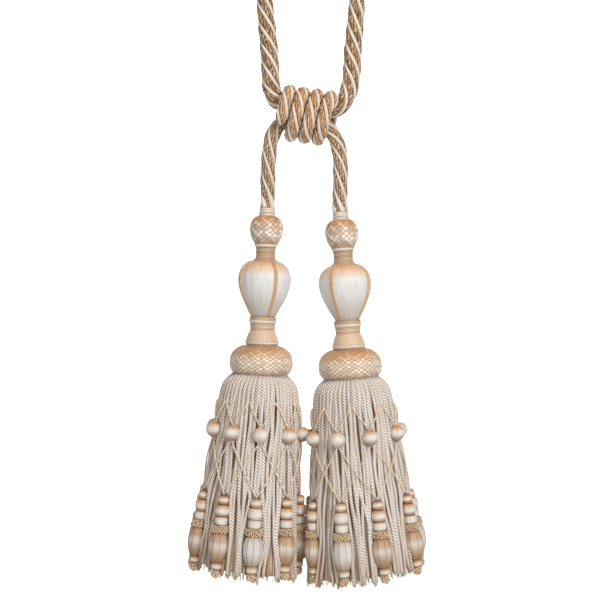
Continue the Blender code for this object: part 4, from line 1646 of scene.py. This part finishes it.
@dataclass
class Net:
    """Thin cords over the skirt, with a bead at each place where a V of them meets."""

    skirt: Skirt
    cord_radius: float = 0.62
    clear: float = 0.65
    sag: float = 0.35
    node_depth: float = 152.4
    slip: float = 2.6  # how far the upper ends slip in under the cords
    entry: float = 5.2
    meeting: float = 225
    rows: int = 16
    sides: int = 6
    bead_rows: int = 22
    bead_columns: int = 28
    bead: Profile = (
        (-5.8, 0.7), (-5.5, 2.6), (-4.3, 4.5), (-2.2, 5.8), (0.2, 6.2), (2.6, 5.7), (4.6, 4.2), (5.8, 2.4),
        (6.4, 0.9),
    )

    def members(self, start: tuple[float, Array], end: tuple[float, Array], under: float = 0) -> Array:
        """Lines over the skirt from one depth to another, as their angle goes evenly from one to the other.

        Args:
            start: depth and angles of the upper ends.
            end: depth and angles of the lower ends.
            under: how far the upper end slips in under the cords.

        Returns:
            Lines as (members, rows, 3).
        """
        t = np.linspace(0, 1, self.rows)
        depth, angle = (blend(first, last, t) for first, last in zip(start, end))
        slip, sag = under * (1 - ease(t, 0, 0.2)), self.sag * np.sin(math.pi * t)
        return polar(depth, self.skirt.reach(depth, angle) + self.clear + sag - slip, angle)

    def build(self) -> None:
        """Makes the net's cords, and beads of an onion's shape, covered with floss laid from pole to pole."""
        skirt, tassel = self.skirt, self.skirt.tassel
        here = tassel.angles[:, None]
        beyond = np.r_[here[1:], here[:1] + TAU]
        top, between = self.node_depth, (here + beyond) / 2
        above, below = skirt.bead_depth - self.entry, skirt.bead_depth + self.entry
        upper = [self.members((top, between), (above, bead), self.slip) for bead in (here, beyond)]
        crossed = ((here, beyond), (beyond, here))
        lower = [self.members((below, first), (self.meeting, last)) for first, last in crossed]
        lines = np.concatenate(upper + lower)
        cords = Piece(f"{tassel.side}_net_cords", tassel.skirt)
        cords.tubes(lines, self.cord_radius, self.sides, lines * (1, 1, 0), NET_CORD)
        cords.make(Slot.NET, f"{tassel.side}_net")
        beads, outline = Piece(f"{tassel.side}_net_beads"), rounded(self.bead, self.bead_rows)
        depth = skirt.bead_depth
        for number, angle in enumerate(tassel.angles, start=1):
            centre = polar(depth, float(skirt.reach(depth, angle)) + skirt.bead_stand, angle)
            beads.place = Place.about("Z", math.degrees(angle), centre).then(tassel.skirt)
            beads.turned(outline, self.bead_columns, BEAD_FLOSS, tassel.paleness(number))
        beads.make(Slot.NET)


@dataclass
class Drop:
    """A hanging drop: barrel, bead, barrel, a ruche of loops, a ribbed pear, a collar and a ball of loops."""

    skirt: Skirt
    columns: int = 28
    rows: int = 14
    coats: tuple[tuple[Floss, Profile], ...] = (
        (CAP_FLOSS, ((0, 1.6), (0.3, 2.9), (1.6, 3.8), (3.6, 4.05), (5.6, 3.95), (6.9, 3.5), (7.3, 2.4))),
        (BARREL_FLOSS, ((7.1, 2.6), (7.4, 4.2), (8.8, 5.2), (11.2, 5.55), (14, 5.3), (15.6, 4.5), (16, 3))),
        (LOW_FLOSS, ((15.9, 3), (16.2, 4.6), (17.4, 4.95), (19.6, 5), (21.6, 4.9), (22.7, 4.5), (23, 3.4))),
        (CAP_FLOSS, ((50.9, 2.6), (51.2, 3.9), (52.2, 4.1), (54.4, 4.2), (56, 4), (56.9, 3), (57.1, 1.8))),
    )
    pear: Profile = (
        (28, 3.6), (28.5, 5.2), (31, 6.5), (34.6, 7.4), (38.6, 7.7), (42.6, 7.4), (46.6, 6.4),
        (49.6, 5.2), (50.8, 4.5), (51.2, 3),
    )
    pear_rows: int = 24
    ribs: int = 9
    rib_radius: float = 0.24
    core: Profile = ((22.4, 3.4), (22.8, 4.7), (25.6, 5.1), (28.4, 4.9), (28.9, 4))
    core_rows: int = 12
    core_columns: int = 24
    row_loops: int = 13
    row_depths: tuple[float, float] = (24.2, 27)
    row_radius: float = 6.1
    ball_depth: float = 59.9
    ball_core: float = 2.7
    ball_columns: int = 16
    ball_radius: float = 2.9
    ball_loops: int = 26
    golden: float = 0.381966  # of a turn, between one loop on the ball and the next
    loop_size: float = 1.3
    loop_radius: float = 0.46
    sides: int = 5

    def loops(self, piece: Piece, centres: Array, outs: Array) -> None:
        """Adds small oval rings of cord that lie on a surface, each slanted and tilted a little its own way.

        Args:
            piece: the piece that they go to.
            centres: the loops' middles as (loops, 3).
            outs: their outward directions.
        """
        count = len(centres)
        rng = np.random.default_rng(count)
        slant = rng.normal(0, 1, (count, 3)) * (1, 1, 0.5) + (0, 0, 1)
        second = slant - outs * (slant * outs).sum(axis=1, keepdims=True)
        second /= np.linalg.norm(second, axis=1, keepdims=True)
        first = np.cross(second, outs) + outs * rng.uniform(-0.9, 0.9, (count, 1))
        turn = np.linspace(0, TAU, 11)[None, :, None]
        ring = 0.7 * np.cos(turn) * first[:, None] + np.sin(turn) * second[:, None]
        lines = centres[:, None] + self.loop_size * ring
        piece.tubes(lines, self.loop_radius, self.sides, outs[:, None], GOLD_LOOP, 0.6)

    def ruche(self) -> tuple[Array, Array]:
        """Two rows of loops round the core, half a loop apart.

        Returns:
            The loops' middles and outward directions.
        """
        number = np.arange(2 * self.row_loops)
        angle = TAU * (number % self.row_loops + 0.5 * (number >= self.row_loops)) / self.row_loops
        depth = np.where(number < self.row_loops, *self.row_depths)
        return polar(depth, self.row_radius, angle), polar(0 * depth, 1, angle)

    def knot(self) -> tuple[Array, Array]:
        """Loops all over the ball at the foot, spaced by the golden angle.

        Returns:
            The loops' middles and outward directions.
        """
        number = np.arange(self.ball_loops)
        height = 1 - 2 * (number + 0.5) / self.ball_loops
        out = polar(-height, np.sqrt(1 - height**2), number * TAU * self.golden)
        return np.array((0, 0, -self.ball_depth)) + self.ball_radius * out, out

    def place(self, angle: float) -> Place:
        """The drop's place: it hangs along the skirt's surface from its top to its foot.

        Args:
            angle: its angle in radians.

        Returns:
            The place.
        """
        skirt = self.skirt
        top = float(skirt.reach(skirt.drop_top, angle)) + skirt.drop_stand
        foot = float(skirt.reach(skirt.drop_foot, angle)) - skirt.drop_sink
        slope = math.degrees(math.atan2(foot - top, skirt.drop_foot - skirt.drop_top))
        round_axis = Place.about("Z", math.degrees(angle), polar(skirt.drop_top, top, angle))
        return Place.about("X", -slope).then(round_axis).then(skirt.tassel.skirt)

    def dress(self, number: int, angle: float) -> None:
        """Makes one drop.

        Args:
            number: its number, from 1; every third one has an ivory pear.
            angle: its angle in radians.
        """
        name = f"{self.skirt.tassel.side}_drop_{number}"
        piece, pale = Piece(f"{name}_silk", self.place(angle)), self.skirt.tassel.paleness(number)
        for finish, profile in self.coats:
            piece.turned(rounded(profile, self.rows), self.columns, finish, pale)
        outline, columns = rounded(self.pear, self.pear_rows), self.ribs * 6
        around = TAU * np.arange(columns) / columns
        lobes = 0.3 * np.abs(np.sin(self.ribs * around / 2)) - 0.2
        piece.turned(outline, columns, IVORY_PEAR if pale > 0.5 else TAN_PEAR, relief=lobes)
        rib_angle = TAU * np.arange(self.ribs)[:, None] / self.ribs
        lines = polar(outline[:, 0], outline[:, 1] - 0.02, rib_angle)
        out = polar(0 * outline[:, 0], 1, rib_angle)
        piece.tubes(lines, self.rib_radius, self.sides, out, RIB_THREAD)
        piece.turned(rounded(self.core, self.core_rows, 6), self.core_columns, LOOP_CORE)
        sweep = np.linspace(0.05, math.pi - 0.05, self.core_rows)
        down, aside = -self.ball_core * np.cos(sweep), self.ball_core * np.sin(sweep)
        ball = np.stack([self.ball_depth + down, aside], axis=-1)
        piece.turned(ball, self.ball_columns, LOOP_CORE)
        self.loops(piece, *self.ruche())
        self.loops(piece, *self.knot())
        piece.make(Slot.DROP, name)

    def build(self) -> None:
        """Makes all the drops of the skirt."""
        for number, angle in enumerate(self.skirt.tassel.angles, start=1):
            self.dress(number, float(angle))


TASSELS = (
    Tassel(
        "left", (-34.88, 0, -214.8), lean=2.3, skirt_lean=2, facing=90, first_rib=-63, ivory=0,
        shown=(-66, -30, 7, 46, 84), partings=(27, -48, 200), tilt=2.6, press=0.07,
    ),
    Tassel(
        "right", (23.6, 0, -217.9), lean=-3.6, skirt_lean=-1.1, facing=-90, first_rib=-32, ivory=2,
        shown=(-67, -25, 16, 61), partings=(-46, 150), tilt=-3.8, press=-0.03,
    ),
)


def main() -> None:
    """Builds the camera, the rope and the tassels in order."""
    logging.basicConfig(level=logging.INFO, format="%(message)s")
    Eye().build()
    Rope(RopeLay()).build()
    KnotWrap(RopeLay(3, 0.49, 0.51, gimp_offset=0.74, gimp=0.25, yarn=KNOT_YARN)).build()
    for tassel in TASSELS:
        Head().build(tassel)
        skirt = Skirt(tassel)
        skirt.build()
        Net(skirt).build()
        Drop(skirt).build()
    Studio().build()


if __name__ == "__main__":
    main()
